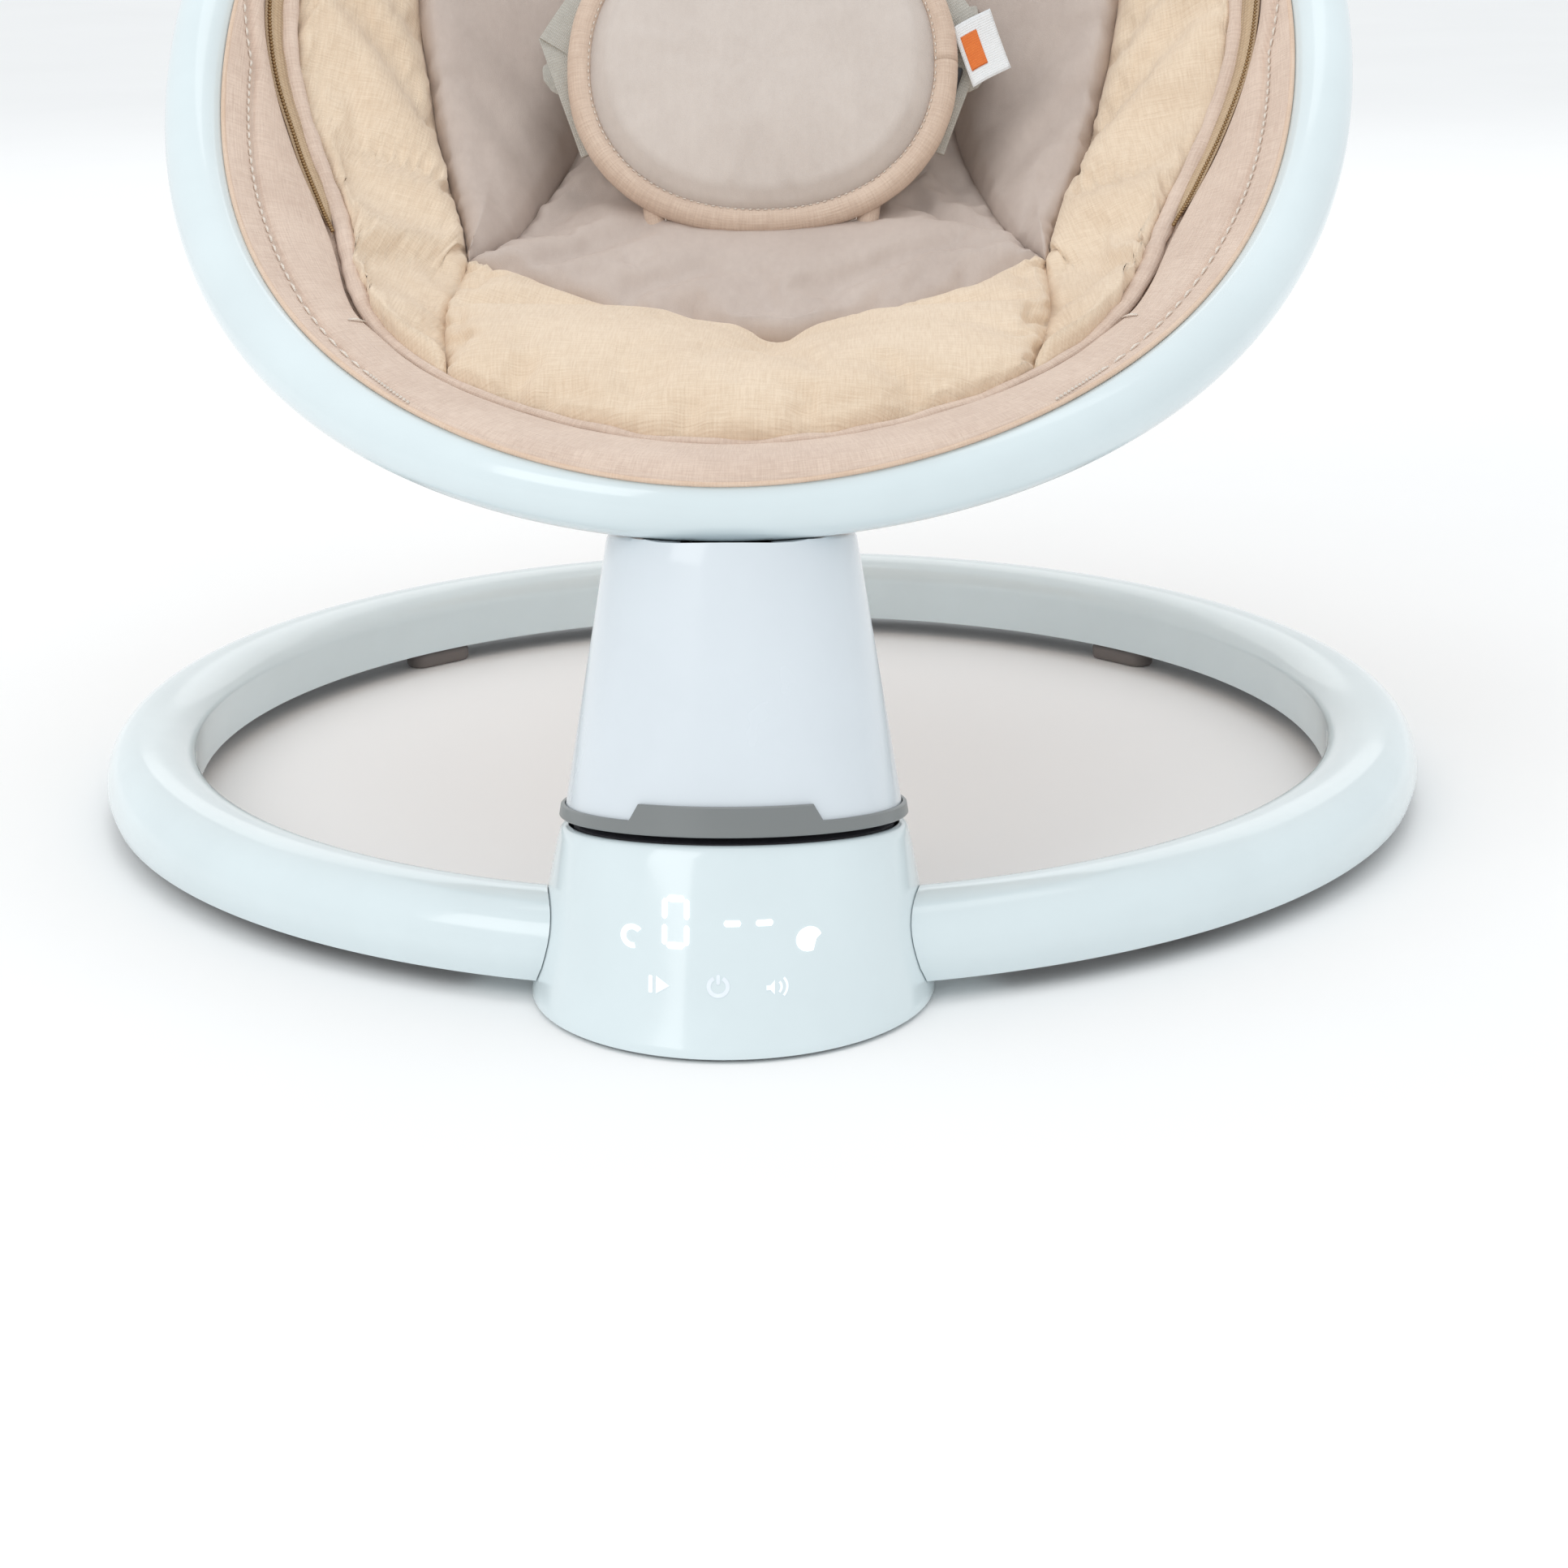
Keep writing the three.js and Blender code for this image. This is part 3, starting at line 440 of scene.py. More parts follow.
NODE_LOOKS = {
    "dark": ["ring_cover_left", "ring_cover_right", "ring_joiner", "base_plate", "bearing_carrier", "speaker",
             "power_jack", "drive_magnet", "column_hub", "recline_head", "tube_plug_left",
             "tube_plug_right", "seat_cradle", "harness_buckle"],
    "rubber": ["base_pad"],
    "skirt": ["dust_skirt"],
    "steel": ["ring_spigot_left", "ring_spigot_right", "bearing_lower", "bearing_upper", "spindle_shaft",
              "magnet_arm", "spindle_nut", "recline_pin"],
    "copper": ["drive_coil"],
    "board": ["control_board", "display_board"],
    "frost": ["light_guide"],
    "satin": ["recline_button", "buckle_button"],
}
BEVELLED_NODES = {"harness_buckle": 0.004, "buckle_button": 0.0025, "seat_cradle": 0.002,
                  "recline_head": 0.0015, "speaker": 0.0008, "control_board": 0.0004}


def dress_nodes():
    """Gives the CAD nodes that stay in view their materials, and rounds the edges of some."""
    for look, names in NODE_LOOKS.items():
        for name in names:
            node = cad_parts[name]
            node.data.materials.clear()
            node.data.materials.append(LOOKS[look])
    for name, width in BEVELLED_NODES.items():
        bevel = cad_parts[name].modifiers.new("rounded", "BEVEL")
        bevel.width = width
        bevel.segments = 3
        bevel.limit_method = "ANGLE"
        bevel.angle_limit = math.radians(40)


# ------------------------------------------------------------------ making pieces
def grid_faces(rows, cols, closed=False):
    """Quads of a grid of points; closed joins the last column to the first."""
    faces = []
    for i in range(rows - 1):
        for k in range(cols if closed else cols - 1):
            m = (k + 1) % cols
            faces.append((i * cols + k, i * cols + m, (i + 1) * cols + m, (i + 1) * cols + k))
    return faces


def make(name, points, faces, look, body, uv=None, smooth_faces=True):
    """A mesh piece that rides on a CAD body. uv gives each point's place on the cloth, in metres."""
    mesh = bpy.data.meshes.new(name)
    mesh.from_pydata([tuple(map(float, p)) for p in points], [], faces)
    mesh.polygons.foreach_set("use_smooth", [smooth_faces] * len(mesh.polygons))
    if uv is not None:
        layer = mesh.uv_layers.new(name="cloth")
        loops = np.zeros(len(mesh.loops), int)
        mesh.loops.foreach_get("vertex_index", loops)
        layer.data.foreach_set("uv", np.asarray(uv, np.float32)[loops].ravel())
    mesh.materials.append(LOOKS[look])
    mesh.update()
    obj = bpy.data.objects.new(name, mesh)
    bpy.context.scene.collection.objects.link(obj)
    if body is not None:
        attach(obj, body)
    return obj


def apply_modifiers(obj):
    graph = bpy.context.evaluated_depsgraph_get()
    baked = bpy.data.meshes.new_from_object(obj.evaluated_get(graph))
    obj.modifiers.clear()
    obj.data = baked
    return obj


def crisp(obj, degrees=35):
    """Smooth faces, with edges sharper than the angle kept sharp."""
    obj.data.set_sharp_from_angle(angle=math.radians(degrees))
    return obj


def carve(obj, *cutters):
    """Cuts the cutters out of a piece, and removes them."""
    for cutter in cutters:
        cut = obj.modifiers.new("cut", "BOOLEAN")
        cut.object = cutter
        cut.solver = "EXACT"
    apply_modifiers(obj)
    for cutter in cutters:
        bpy.data.objects.remove(cutter)
    return obj


def capped(name, loops, look, body, close_ends=True):
    """A solid through closed loops of points, each with the same count, with its ends filled."""
    loops = np.asarray(loops, float)
    rows, cols = loops.shape[:2]
    points = loops.reshape(-1, 3)
    faces = grid_faces(rows, cols, closed=True)
    if close_ends:
        faces.append(tuple(reversed(range(cols))))
        faces.append(tuple(range((rows - 1) * cols, rows * cols)))
    return face_outwards(make(name, points, faces, look, body))


def face_outwards(obj):
    """Joins points that coincide, and turns the faces outwards."""
    work = bmesh.new()
    work.from_mesh(obj.data)
    bmesh.ops.remove_doubles(work, verts=work.verts, dist=1e-7)
    bmesh.ops.recalc_face_normals(work, faces=work.faces)
    work.to_mesh(obj.data)
    work.free()
    return obj


def section_frames(path, up):
    """Unit sideways and upward directions at each point of a path, for an upright direction."""
    along = unit(np.gradient(path, axis=0))
    up = np.broadcast_to(np.asarray(up, float), path.shape)
    side = unit(np.cross(along, up))
    return side, unit(np.cross(side, along))


def tube(name, path, radius, look, body, up=(0, 0, 1), sides=24, flat=1.0):
    """A round tube along a path; radius may vary along it, and flat squashes it against up."""
    path = np.asarray(path, float)
    radius = np.broadcast_to(np.asarray(radius, float), len(path))
    side, above = section_frames(path, up)
    turn = np.linspace(0, 2 * math.pi, sides, endpoint=False)
    ring = (
        path[:, None]
        + radius[:, None, None] * np.cos(turn)[None, :, None] * side[:, None]
        + flat * radius[:, None, None] * np.sin(turn)[None, :, None] * above[:, None]
    )
    girth = np.cumsum(np.linalg.norm(np.diff(path, axis=0, prepend=path[:1]), axis=1))
    made = capped(name, ring, look, body)
    radius_at = float(np.mean(radius))
    uv = np.stack(np.broadcast_arrays(girth[:, None], (turn * radius_at)[None]), axis=-1).reshape(-1, 2)
    set_uv(made, uv)
    return made


def set_uv(obj, uv):
    layer = obj.data.uv_layers.get("cloth") or obj.data.uv_layers.new(name="cloth")
    loops = np.zeros(len(obj.data.loops), int)
    obj.data.loops.foreach_get("vertex_index", loops)
    layer.data.foreach_set("uv", np.asarray(uv, np.float32)[loops].ravel())


def turned(name, profile, look, body, place=Matrix.Identity(4), sides=64):
    """A solid of revolution about Z, from [radius, height] pairs, then placed by a matrix."""
    turn = np.linspace(0, 2 * math.pi, sides, endpoint=False)
    loops = [
        [place @ Vector((r * math.cos(a), r * math.sin(a), z)) for a in turn] for r, z in profile
    ]
    return capped(name, loops, look, body)


def long_loop(r, z, reach, place, sides=40):
    """A loop with two round ends, drawn apart along Y by reach each way."""
    turn = np.linspace(0, 2 * math.pi, sides, endpoint=False) + 0.01
    return [place @ Vector((r * math.cos(a), r * math.sin(a) + math.copysign(reach, math.sin(a)), z)) for a in turn]


def rounded(corners, radius, steps=4):
    """A [radius, height] profile with its inner corners rounded; its two ends stay."""
    points = [corners[0]]
    for before, corner, after in zip(corners, corners[1:], corners[2:]):
        corner = np.array(corner, float)
        a = np.array(before, float) - corner
        b = np.array(after, float) - corner
        reach = min(radius, 0.45 * np.linalg.norm(a), 0.45 * np.linalg.norm(b))
        start, end = corner + reach * unit(a), corner + reach * unit(b)
        for t in np.linspace(0, 1, steps + 1):
            points.append((1 - t) ** 2 * start + 2 * t * (1 - t) * corner + t * t * end)
    points.append(corners[-1])
    return [tuple(p) for p in points]


def on_axis():
    """Places a shape drawn about Z on the leaning swing axis."""
    return Matrix.Translation((0, AXIS_Y, 0)) @ Matrix.Rotation(-AXIS_LEAN, 4, "X")


# ------------------------------------------------------------------ the base
def ring_arch(steps=10):
    """The floor ring's outline as [radius, height] pairs, from its inner foot over to its outer foot."""
    top, wall_top, side = RING_TOP, FOOT_HEIGHT + 0.017, FOOT_HEIGHT + 0.006
    crown = RING_INNER_R + 0.45 * (RING_OUTER_R - RING_INNER_R)
    points = [(RING_INNER_R, FOOT_HEIGHT + 0.0006)]
    for a in np.linspace(0, math.pi / 2, steps):
        points.append((crown - (crown - RING_INNER_R) * math.cos(a), wall_top + (top - wall_top) * math.sin(a)))
    for a in np.linspace(0, math.pi / 2, steps)[1:]:
        points.append(
            (crown + (RING_OUTER_R - crown) * math.sin(a) ** 0.9, side + (top - side) * math.cos(a) ** 0.9)
        )
    points.append((RING_OUTER_R - 0.0016, FOOT_HEIGHT + 0.0008))
    points.append((RING_OUTER_R - 0.0040, FOOT_HEIGHT + 0.0002))
    points.append((RING_INNER_R + 0.0030, FOOT_HEIGHT + 0.0002))
    return points


def add_floor_ring():
    arch = ring_arch()
    for side, start, end in (("left", 90.05, 266), ("right", 89.95, -86)):
        loops = []
        for degrees in np.linspace(start, end, 150):
            a = math.radians(degrees)
            loops.append([(r * math.cos(a), RING_CENTRE_Y + r * math.sin(a), z) for r, z in arch])
        half = capped(f"floor_ring_{side}", loops, "white", "base")
        cutter = capped("housing_room", housing_loops(0.0004, np.linspace(-0.05, 0.9, 20)), "white", None)
        crisp(carve(half, cutter), 40)
        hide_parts(f"base_ring_{side}")
    middle = (RING_OUTER_R + RING_INNER_R) / 2
    top = FOOT_HEIGHT - 0.0004
    r = FOOT_WIDTH / 2
    profile = rounded([(0.0001, 0.0005), (r - 0.0025, 0.0005), (r - 0.0022, 0.0001), (r - 0.0006, 0.0001),
                       (r, 0.0014), (r, 0.0052), (r - 0.0009, top), (0.0001, top)], 0.0008)
    for corner, degrees in FOOT_ANGLES.items():
        a = math.radians(degrees)
        place = Matrix.Translation((FOOT_MID_R * math.cos(a), RING_CENTRE_Y + FOOT_MID_R * math.sin(a), 0))
        loops = [long_loop(r, z, FOOT_LENGTH / 2 - FOOT_WIDTH / 2, place @ Matrix.Rotation(a, 4, "Z"))
                 for r, z in profile]
        foot = crisp(capped(f"rubber_foot_{corner}", loops, "rubber", "base"))
        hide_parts(f"foot_{corner}")


def housing_radius(grow, share):
    flare = (HOUSING_FOOT_R - HOUSING_RIM_R) * max(1 - share, 0) ** 0.8
    return HOUSING_RIM_R + flare + grow


def housing_centre_y(share):
    return AXIS_Y + HOUSING_RIM_AT * share * math.sin(AXIS_LEAN) - HOUSING_FORWARD * max(1 - share, 0) ** 1.2


def housing_point(radius, share, a):
    """A point at an angle round the housing, at a share of its height."""
    lean = AXIS_LEAN * max(share, 0) ** 1.5
    back = radius * math.sin(a)
    height = HOUSING_RIM_AT * share * math.cos(AXIS_LEAN) - back * math.sin(lean)
    return radius * math.cos(a), housing_centre_y(share) + back * math.cos(lean), height


def housing_loops(grow, shares, sides=120):
    turn = np.linspace(0, 2 * math.pi, sides, endpoint=False)
    return [[housing_point(housing_radius(grow, s), s, a) for a in turn] for s in shares]


def add_housing():
    low, high = 0.022, 1.0
    outer = housing_loops(-0.0009, [low]) + housing_loops(-0.0003, [low + 0.006])
    outer += housing_loops(0, np.linspace(low + 0.02, high - 0.022, 26))
    outer += housing_loops(-0.00035, [high - 0.008]) + housing_loops(-0.0010, [high])
    inner = housing_loops(-HOUSING_WALL + 0.0006, [high]) + housing_loops(-HOUSING_WALL, [high - 0.01, 0.6, 0.3, low])
    loops = outer + inner
    shell = capped("motor_housing", loops + [loops[0]], "white", "base", close_ends=False)
    jack = turned("jack_room", [(0.0056, -0.012), (0.0056, 0.012)], "dark", None,
                  Matrix.Translation((0.030, wall_back(0.030, 0.016), 0.016)) @ Matrix.Rotation(math.pi / 2, 4, "X"))
    crisp(carve(shell, jack), 40)
    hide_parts("housing_shell")
    ring = [(0.0040, 0.0), (0.0040, -0.001), (0.0062, -0.001), (0.0068, -0.0004), (0.0068, 0.0)]
    collar = turned("charger_collar", ring + ring[:1], "dark", "base",
                    Matrix.Translation((0.030, wall_back(0.030, 0.016) - 0.0002, 0.016))
                    @ Matrix.Rotation(math.pi / 2, 4, "X"), 32)
    add_display()


def wall_back(x, height):
    """How far back the housing's rear wall is, at a place across and up."""
    share = height / (HOUSING_RIM_AT * math.cos(AXIS_LEAN))
    radius = housing_radius(0, share)
    return housing_centre_y(share) + math.sqrt(radius**2 - x * x)


def wall_front(x, at, proud):
    """A point on the housing's front wall, from across and from up along the swing axis."""
    share = at / HOUSING_RIM_AT
    radius = housing_radius(proud, share)
    return housing_point(radius, share, -math.acos(x / radius))


def wall_sign(name, outline, look):
    """A thin lit sign on the front wall, from an outline of [across, up] pairs in millimetres."""
    dense = []
    for a, b in zip(outline, outline[1:] + outline[:1]):
        for t in np.linspace(0, 1, 4, endpoint=False):
            dense.append((a[0] + (b[0] - a[0]) * t, a[1] + (b[1] - a[1]) * t))
    count = len(dense)
    front = [wall_front(x * MM, up * MM, 0.00016) for x, up in dense]
    back = [wall_front(x * MM, up * MM, -0.0004) for x, up in dense]
    faces = [tuple(range(count)), tuple(reversed(range(count, 2 * count)))]
    faces += [(k, k + count, (k + 1) % count + count, (k + 1) % count) for k in range(count)]
    sign = face_outwards(make(name, front + back, faces, look, "base", smooth_faces=False))
    return sign


def arc_band(x, up, inner, outer, start, end, steps=14):
    """The outline of part of a flat ring, between two angles in degrees."""
    turn = np.radians(np.linspace(start, end, steps))
    far = [(x + outer * math.cos(a), up + SIGN_SQUASH * outer * math.sin(a)) for a in turn]
    near = [(x + inner * math.cos(a), up + SIGN_SQUASH * inner * math.sin(a)) for a in reversed(turn)]
    return far + near


def bar(x, up, width, height, cut=0.4):
    """A bar's outline with its corners cut off."""
    w, h = width / 2, height / 2
    return [(x - w + cut, up - h), (x + w - cut, up - h), (x + w, up - h + cut), (x + w, up + h - cut),
            (x + w - cut, up + h), (x - w + cut, up + h), (x - w, up + h - cut), (x - w, up - h + cut)]


SIGN_SQUASH = 0.74  # the front wall leans, so a sign that looks round from the front is low on it
DIGIT_X, DIGIT_UP = -15.6, 35.1  # the middle of the display's digit, in millimetres
DIGIT_HALF_WIDTH, DIGIT_HALF_HEIGHT = 3.6, 5.6


def add_display():
    for side in (-1, 1):
        for end in (-1, 1):
            upright = bar(DIGIT_X + side * DIGIT_HALF_WIDTH, DIGIT_UP + end * 3.1, 1.6, 4.7, 0.5)
            wall_sign(f"digit_side_{'lr'[side > 0]}{'bt'[end > 0]}", upright, "lit")
    for end in (-1, 1):
        cross = bar(DIGIT_X, DIGIT_UP + end * DIGIT_HALF_HEIGHT, 5.8, 1.5, 0.7)
        wall_sign(f"digit_{'bottom' if end < 0 else 'top'}", cross, "lit")
    for k, x in enumerate((2.7, 12.9)):
        wall_sign(f"dash_{k}", bar(x, 35.1, 5.3, 1.4, 0.5), "lit")
    wall_sign("sign_arc", arc_band(-29.8, 30.7, 2.3, 3.9, 44, 284), "lit")
    disc = np.radians(np.linspace(20, 290, 20))
    moon = [(27.0 + 4.0 * math.cos(a), 30.3 + SIGN_SQUASH * 4.0 * math.sin(a)) for a in disc]
    moon += [(28.9, 29.3), (29.4, 30.4)]
    wall_sign("sign_moon", moon, "lit")
    wall_sign("play_bar", bar(-23.6, 19.6, 1.4, 4.4, 0.3), "dim")
    wall_sign("play_arrow", [(-21.8, 17.4), (-17.4, 19.6), (-21.8, 21.8)], "dim")
    wall_sign("power_ring", arc_band(-1.7, 20.0, 2.4, 3.7, 118, 422, 24), "faint")
    wall_sign("power_bar", bar(-1.7, 21.7, 1.2, 2.4, 0.3), "faint")
    cone = [(-1, -0.6), (0.3, -0.6), (1.7, -1.8), (1.7, 1.8), (0.3, 0.6), (-1, 0.6)]
    wall_sign("speaker_cone", [(14.6 + x, 19.4 + up) for x, up in cone], "dim")
    for k, reach in enumerate((2.2, 4.0)):
        wall_sign(f"speaker_wave_{k}", arc_band(15.8, 19.4, reach, reach + 0.8, -42, 42, 10), "dim")


# ------------------------------------------------------------------ the column
def column_radius(at):
    return COLUMN_R + (COLUMN_TOP_R - COLUMN_R) * (at - BAND_AT) / (COLUMN_TOP_AT - BAND_AT)


def add_column():
    top = COLUMN_TOP_AT
    outer = [(column_radius(at), at) for at in np.linspace(BAND_AT, top - 0.0016, 14)]
    rim = column_radius(top)
    cap = [(rim - 0.0003, top - 0.0005), (rim - 0.0012, top), (0.0002, top)]
    roof = top - 0.0070
    hollow = [(0.0002, roof), (column_radius(roof) - COLUMN_WALL, roof), (COLUMN_R - COLUMN_WALL, BAND_AT)]
    profile = outer + cap + hollow
    turn = np.linspace(0, 2 * math.pi, 96, endpoint=False)
    loops = [[on_axis() @ Vector((r * math.cos(a), r * math.sin(a), z)) for a in turn] for r, z in profile + profile[:1]]
    shell = capped("column_cover", loops, "column", "column", close_ends=False)
    under_tube = frame_path(-45, 45, 60)
    grooves = [tube("tube_room", under_tube + shift, TUBE_R + 0.0006, "dark", None, sides=32)
               for shift in ((0, 0, 0), (0, -0.0060, 0.0011))]
    knuckle = box_piece("knuckle_room", (0.030, 0.060, 0.020), on_axis() @ Matrix.Translation((0, -0.004, COLUMN_TOP_AT)))
    window = turned("button_room", [(0.0104, 0.020), (0.0104, 0.060)], "dark", None,
                    on_axis() @ Matrix.Translation((0, 0, BUTTON_AT)) @ Matrix.Rotation(-math.pi / 2, 4, "X"))
    crisp(carve(shell, *grooves, knuckle, window), 35)
    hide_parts("column_shell")
    add_trim_band()
    add_button_spring()


def add_button_spring():
    """The coil under the recline button, which on the swing shortens as the button goes in; here it is built at one
    length.
    """
    foot, head = 0.0248, 0.0330
    radius, wire = 0.0074, 0.0006
    turn = np.linspace(0, 6 * math.pi, 145)
    run = foot + (head - foot) * turn / turn[-1]
    path = [on_axis() @ Vector((radius * math.cos(a), y, BUTTON_AT + radius * math.sin(a))) for a, y in zip(turn, run)]
    coil = tube("button_coil", path, wire, "steel", "column", (0, 1, 0), 8)
    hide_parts("button_spring")
    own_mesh(coil)


def box_piece(name, size, place):
    """A plain cutting box about a place."""
    x, y, z = (s / 2 for s in size)
    ring = [(-x, -y), (x, -y), (x, y), (-x, y)]
    loops = [[place @ Vector((a, b, c)) for a, b in ring] for c in (-z, z)]
    return capped(name, loops, "dark", None)


def add_trim_band():
    """The satin band round the foot of the column, with a raised tab at its front."""
    marks = [-0.0322, -0.0318, -0.0307, -0.0298, -0.0292, -0.0288]
    tab = [-math.pi / 2 + math.asin(x / BAND_R) for x in marks + [-x for x in reversed(marks)]]
    rest = np.linspace(tab[-1], tab[0] + 2 * math.pi, 100)[1:-1]
    middle = np.linspace(tab[5], tab[6], 24)[1:-1]
    turn = np.concatenate([tab[:6], middle, tab[6:], rest])
    loops = []
    for a in turn:
        x = abs(BAND_R * math.cos(a))
        raised = float(np.clip((0.032 - x) / 0.0028, 0, 1)) if math.sin(a) < 0 else 0.0
        height = BAND_HEIGHT + (BAND_TAB_HEIGHT - BAND_HEIGHT) * raised
        inner, outer = COLUMN_R + 0.0004, BAND_R
        lean = (COLUMN_R - column_radius(BAND_AT + height))
        section = [(inner, 0), (outer - 0.0004, 0), (outer, 0.0005), (outer - 0.8 * lean, height - 0.0004),
                   (outer - 0.8 * lean - 0.0004, height), (inner - lean, height)]
        loops.append([on_axis() @ Vector((r * math.cos(a), r * math.sin(a), BAND_AT + z)) for r, z in section])
    band = capped("satin_band", loops + [loops[0]], "satin", "column", close_ends=False)
    crisp(band, 25)
    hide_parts("trim_band")


# ------------------------------------------------------------------ the seat frame
def frame_path(start, end, count):
    """Points on the seat frame's centreline, between two angles in degrees from its front."""
    across, along = oval(np.radians(np.linspace(start, end, count)), 1.0)
    return seat_point(across, along, 0.0)


SEAT_UP = (0, -0.5, 0.86)


def add_seat_frame():
    joint = 90 + CONNECTOR_ANGLE
    front = tube("seat_tube_front", frame_path(-joint + 0.2, joint - 0.2, 220), TUBE_R, "white", "seat", SEAT_UP, 32)
    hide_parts("lower_seat_tube")
    back = tube("seat_tube_back", frame_path(joint + 0.2, 360 - joint - 0.2, 200), TUBE_R, "white", "seat", SEAT_UP, 32)
    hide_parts("upper_seat_tube")
    for side, sign in (("left", -1), ("right", 1)):
        reach = 5.0
        path = frame_path(sign * (joint - reach), sign * (joint + reach), 40)
        end = np.minimum(np.linspace(0, 1, 40), np.linspace(1, 0, 40))
        swell = 0.0009 + 0.0020 * np.sqrt(np.clip(end / 0.10, 0, 1)) + 0.0008 * smooth(0.1, 0.5, end)
        shell = tube(f"frame_joint_{side}", path, TUBE_R + swell, "shell", "seat", SEAT_UP, 40)
        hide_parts(f"side_connector_{side}")
        button_at = frame_path(sign * joint, sign * (joint + 0.1), 2)[0]
        outward = Vector((sign, 0, 0))
        place = Matrix.Translation(Vector(button_at) + outward * (TUBE_R + 0.0028)) @ Matrix.Rotation(sign * math.pi / 2, 4, "Y")
        cap = rounded([(0.0001, 0.0), (0.0042, 0.0), (0.0042, 0.0016), (0.0001, 0.0018)], 0.0009)
        catch = crisp(turned(f"frame_catch_{side}", cap, "satin", "seat", place, 32))


# ------------------------------------------------------------------ cloth
def swell(panels, growth=0.03, pressure=4.0):
    """Lets air pressure swell open surfaces between their held points, by cloth simulation.
    Each panel is (points, faces, held); it returns the swollen points of each, with how far they move capped."""
    scene = bpy.context.scene
    scene.frame_start, scene.frame_end = 1, CLOTH_FRAMES
    pieces = []
    for k, (points, faces, held) in enumerate(panels):
        obj = make(f"cloth_{k}", points, faces, "velour", None)
        group = obj.vertex_groups.new(name="held")
        group.add([int(i) for i in np.flatnonzero(held)], 1.0, "REPLACE")
        cloth = obj.modifiers.new("cloth", "CLOTH")
        cloth.point_cache.frame_start, cloth.point_cache.frame_end = 1, CLOTH_FRAMES
        settings = cloth.settings
        settings.quality = 5
        settings.mass = 0.2
        settings.tension_stiffness = settings.compression_stiffness = 18
        settings.shear_stiffness = 8
        settings.bending_stiffness = 0.6
        settings.shrink_min = -growth
        settings.use_pressure = True
        settings.uniform_pressure_force = pressure
        settings.vertex_group_mass = "held"
        settings.effector_weights.gravity = 0
        cloth.collision_settings.use_collision = False
        pieces.append(obj)
    for step in range(1, CLOTH_FRAMES + 1):
        scene.frame_set(step)
    graph = bpy.context.evaluated_depsgraph_get()
    swollen = []
    for obj, (points, _, _) in zip(pieces, panels):
        moved = np.zeros(len(points) * 3)
        obj.evaluated_get(graph).data.vertices.foreach_get("co", moved)
        shift = moved.reshape(-1, 3) - points
        far = np.linalg.norm(shift, axis=1, keepdims=True)
        swollen.append(points + shift * np.tanh(far / CLOTH_CAP) * CLOTH_CAP / np.maximum(far, 1e-9))
        bpy.data.objects.remove(obj)
    scene.frame_set(1)
    return swollen


def refine(grid):
    """Doubles a grid of points in both directions, on smooth curves through them."""
    for axis in (0, 1):
        g = np.moveaxis(grid, axis, 0)
        ends = np.concatenate([[2 * g[0] - g[1]], g, [2 * g[-1] - g[-2]]])
        middle = (9 * (ends[1:-2] + ends[2:-1]) - ends[:-3] - ends[3:]) / 16
        finer = np.empty((2 * len(g) - 1, *g.shape[1:]))
        finer[0::2], finer[1::2] = g, middle
        grid = np.moveaxis(finer, 0, axis)
    return grid


def travel(grid, axis):
    """How far along the surface each point of a grid is from its first row or column."""
    steps = np.linalg.norm(np.diff(grid, axis=axis), axis=2)
    start = np.zeros_like(np.take(steps, [0], axis=axis))
    return np.concatenate([start, np.cumsum(steps, axis=axis)], axis=axis)


def from_border(grid):
    """Each point's distance from the two ends of its row and of its column."""
    reach = []
    for axis in (0, 1):
        at = travel(grid, axis)
        whole = np.take(at, [-1], axis=axis)
        reach.append(np.minimum(at, whole - at))
    return reach


def grid_normals(grid):
    across = np.gradient(grid, axis=1)
    along = np.gradient(grid, axis=0)
    return unit(np.cross(across, along))


def ripple(distance, seed, pitch):
    """Uneven ripples along a length."""
    flat = np.asarray(distance, float).ravel()
    made = np.array([noise.noise((float(x) / pitch, seed, 0.0)) for x in flat])
    return made.reshape(np.shape(distance))


def gathered(grid, seed, height=0.0034, reach=0.011, pitch=0.0088):
    """Puckers of the cloth where it is sewn down along its four sides."""
    rows, cols = from_border(grid)
    along, across = travel(grid, 0), travel(grid, 1)
    lift = np.exp(-cols / reach) * ripple(along, seed, pitch) * smooth(0, 0.003, cols)
    lift += np.exp(-rows / reach) * ripple(across, seed + 7.5, pitch) * smooth(0, 0.003, rows)
    return grid + grid_normals(grid) * (height * lift)[..., None]


def coons(front, back, left, right):
    """Across and along on a patch between four curves; left and right run from front to back."""
    u = np.linspace(0, 1, len(front))[None, :, None]
    v = np.linspace(0, 1, len(left))[:, None, None]
    ruled = (1 - v) * front[None] + v * back[None] + (1 - u) * left[:, None] + u * right[:, None]
    corners = (1 - v) * ((1 - u) * front[0] + u * front[-1]) + v * ((1 - u) * back[0] + u * back[-1])
    return ruled - corners


def edge_curve(start, end, count):
    """The liner's outer edge between two angles from the front of the oval, as across and along."""
    degrees = np.linspace(start, end, count)
    across, along = oval(np.radians(degrees), liner_edge(degrees), FABRIC_INSET)
    return resample(np.stack([across, along], axis=1), count)


def whole_curve(half, count, lean=0.0):
    """A curve from left to right through a half given from the middle outwards; lean moves its middle across."""
    points = np.array([(-x, y) for x, y in reversed(half)] + list(half[1:]))
    points[:, 0] += lean * (1 - (points[:, 0] / points[-1, 0]) ** 2)
    return curve_through(points, count)


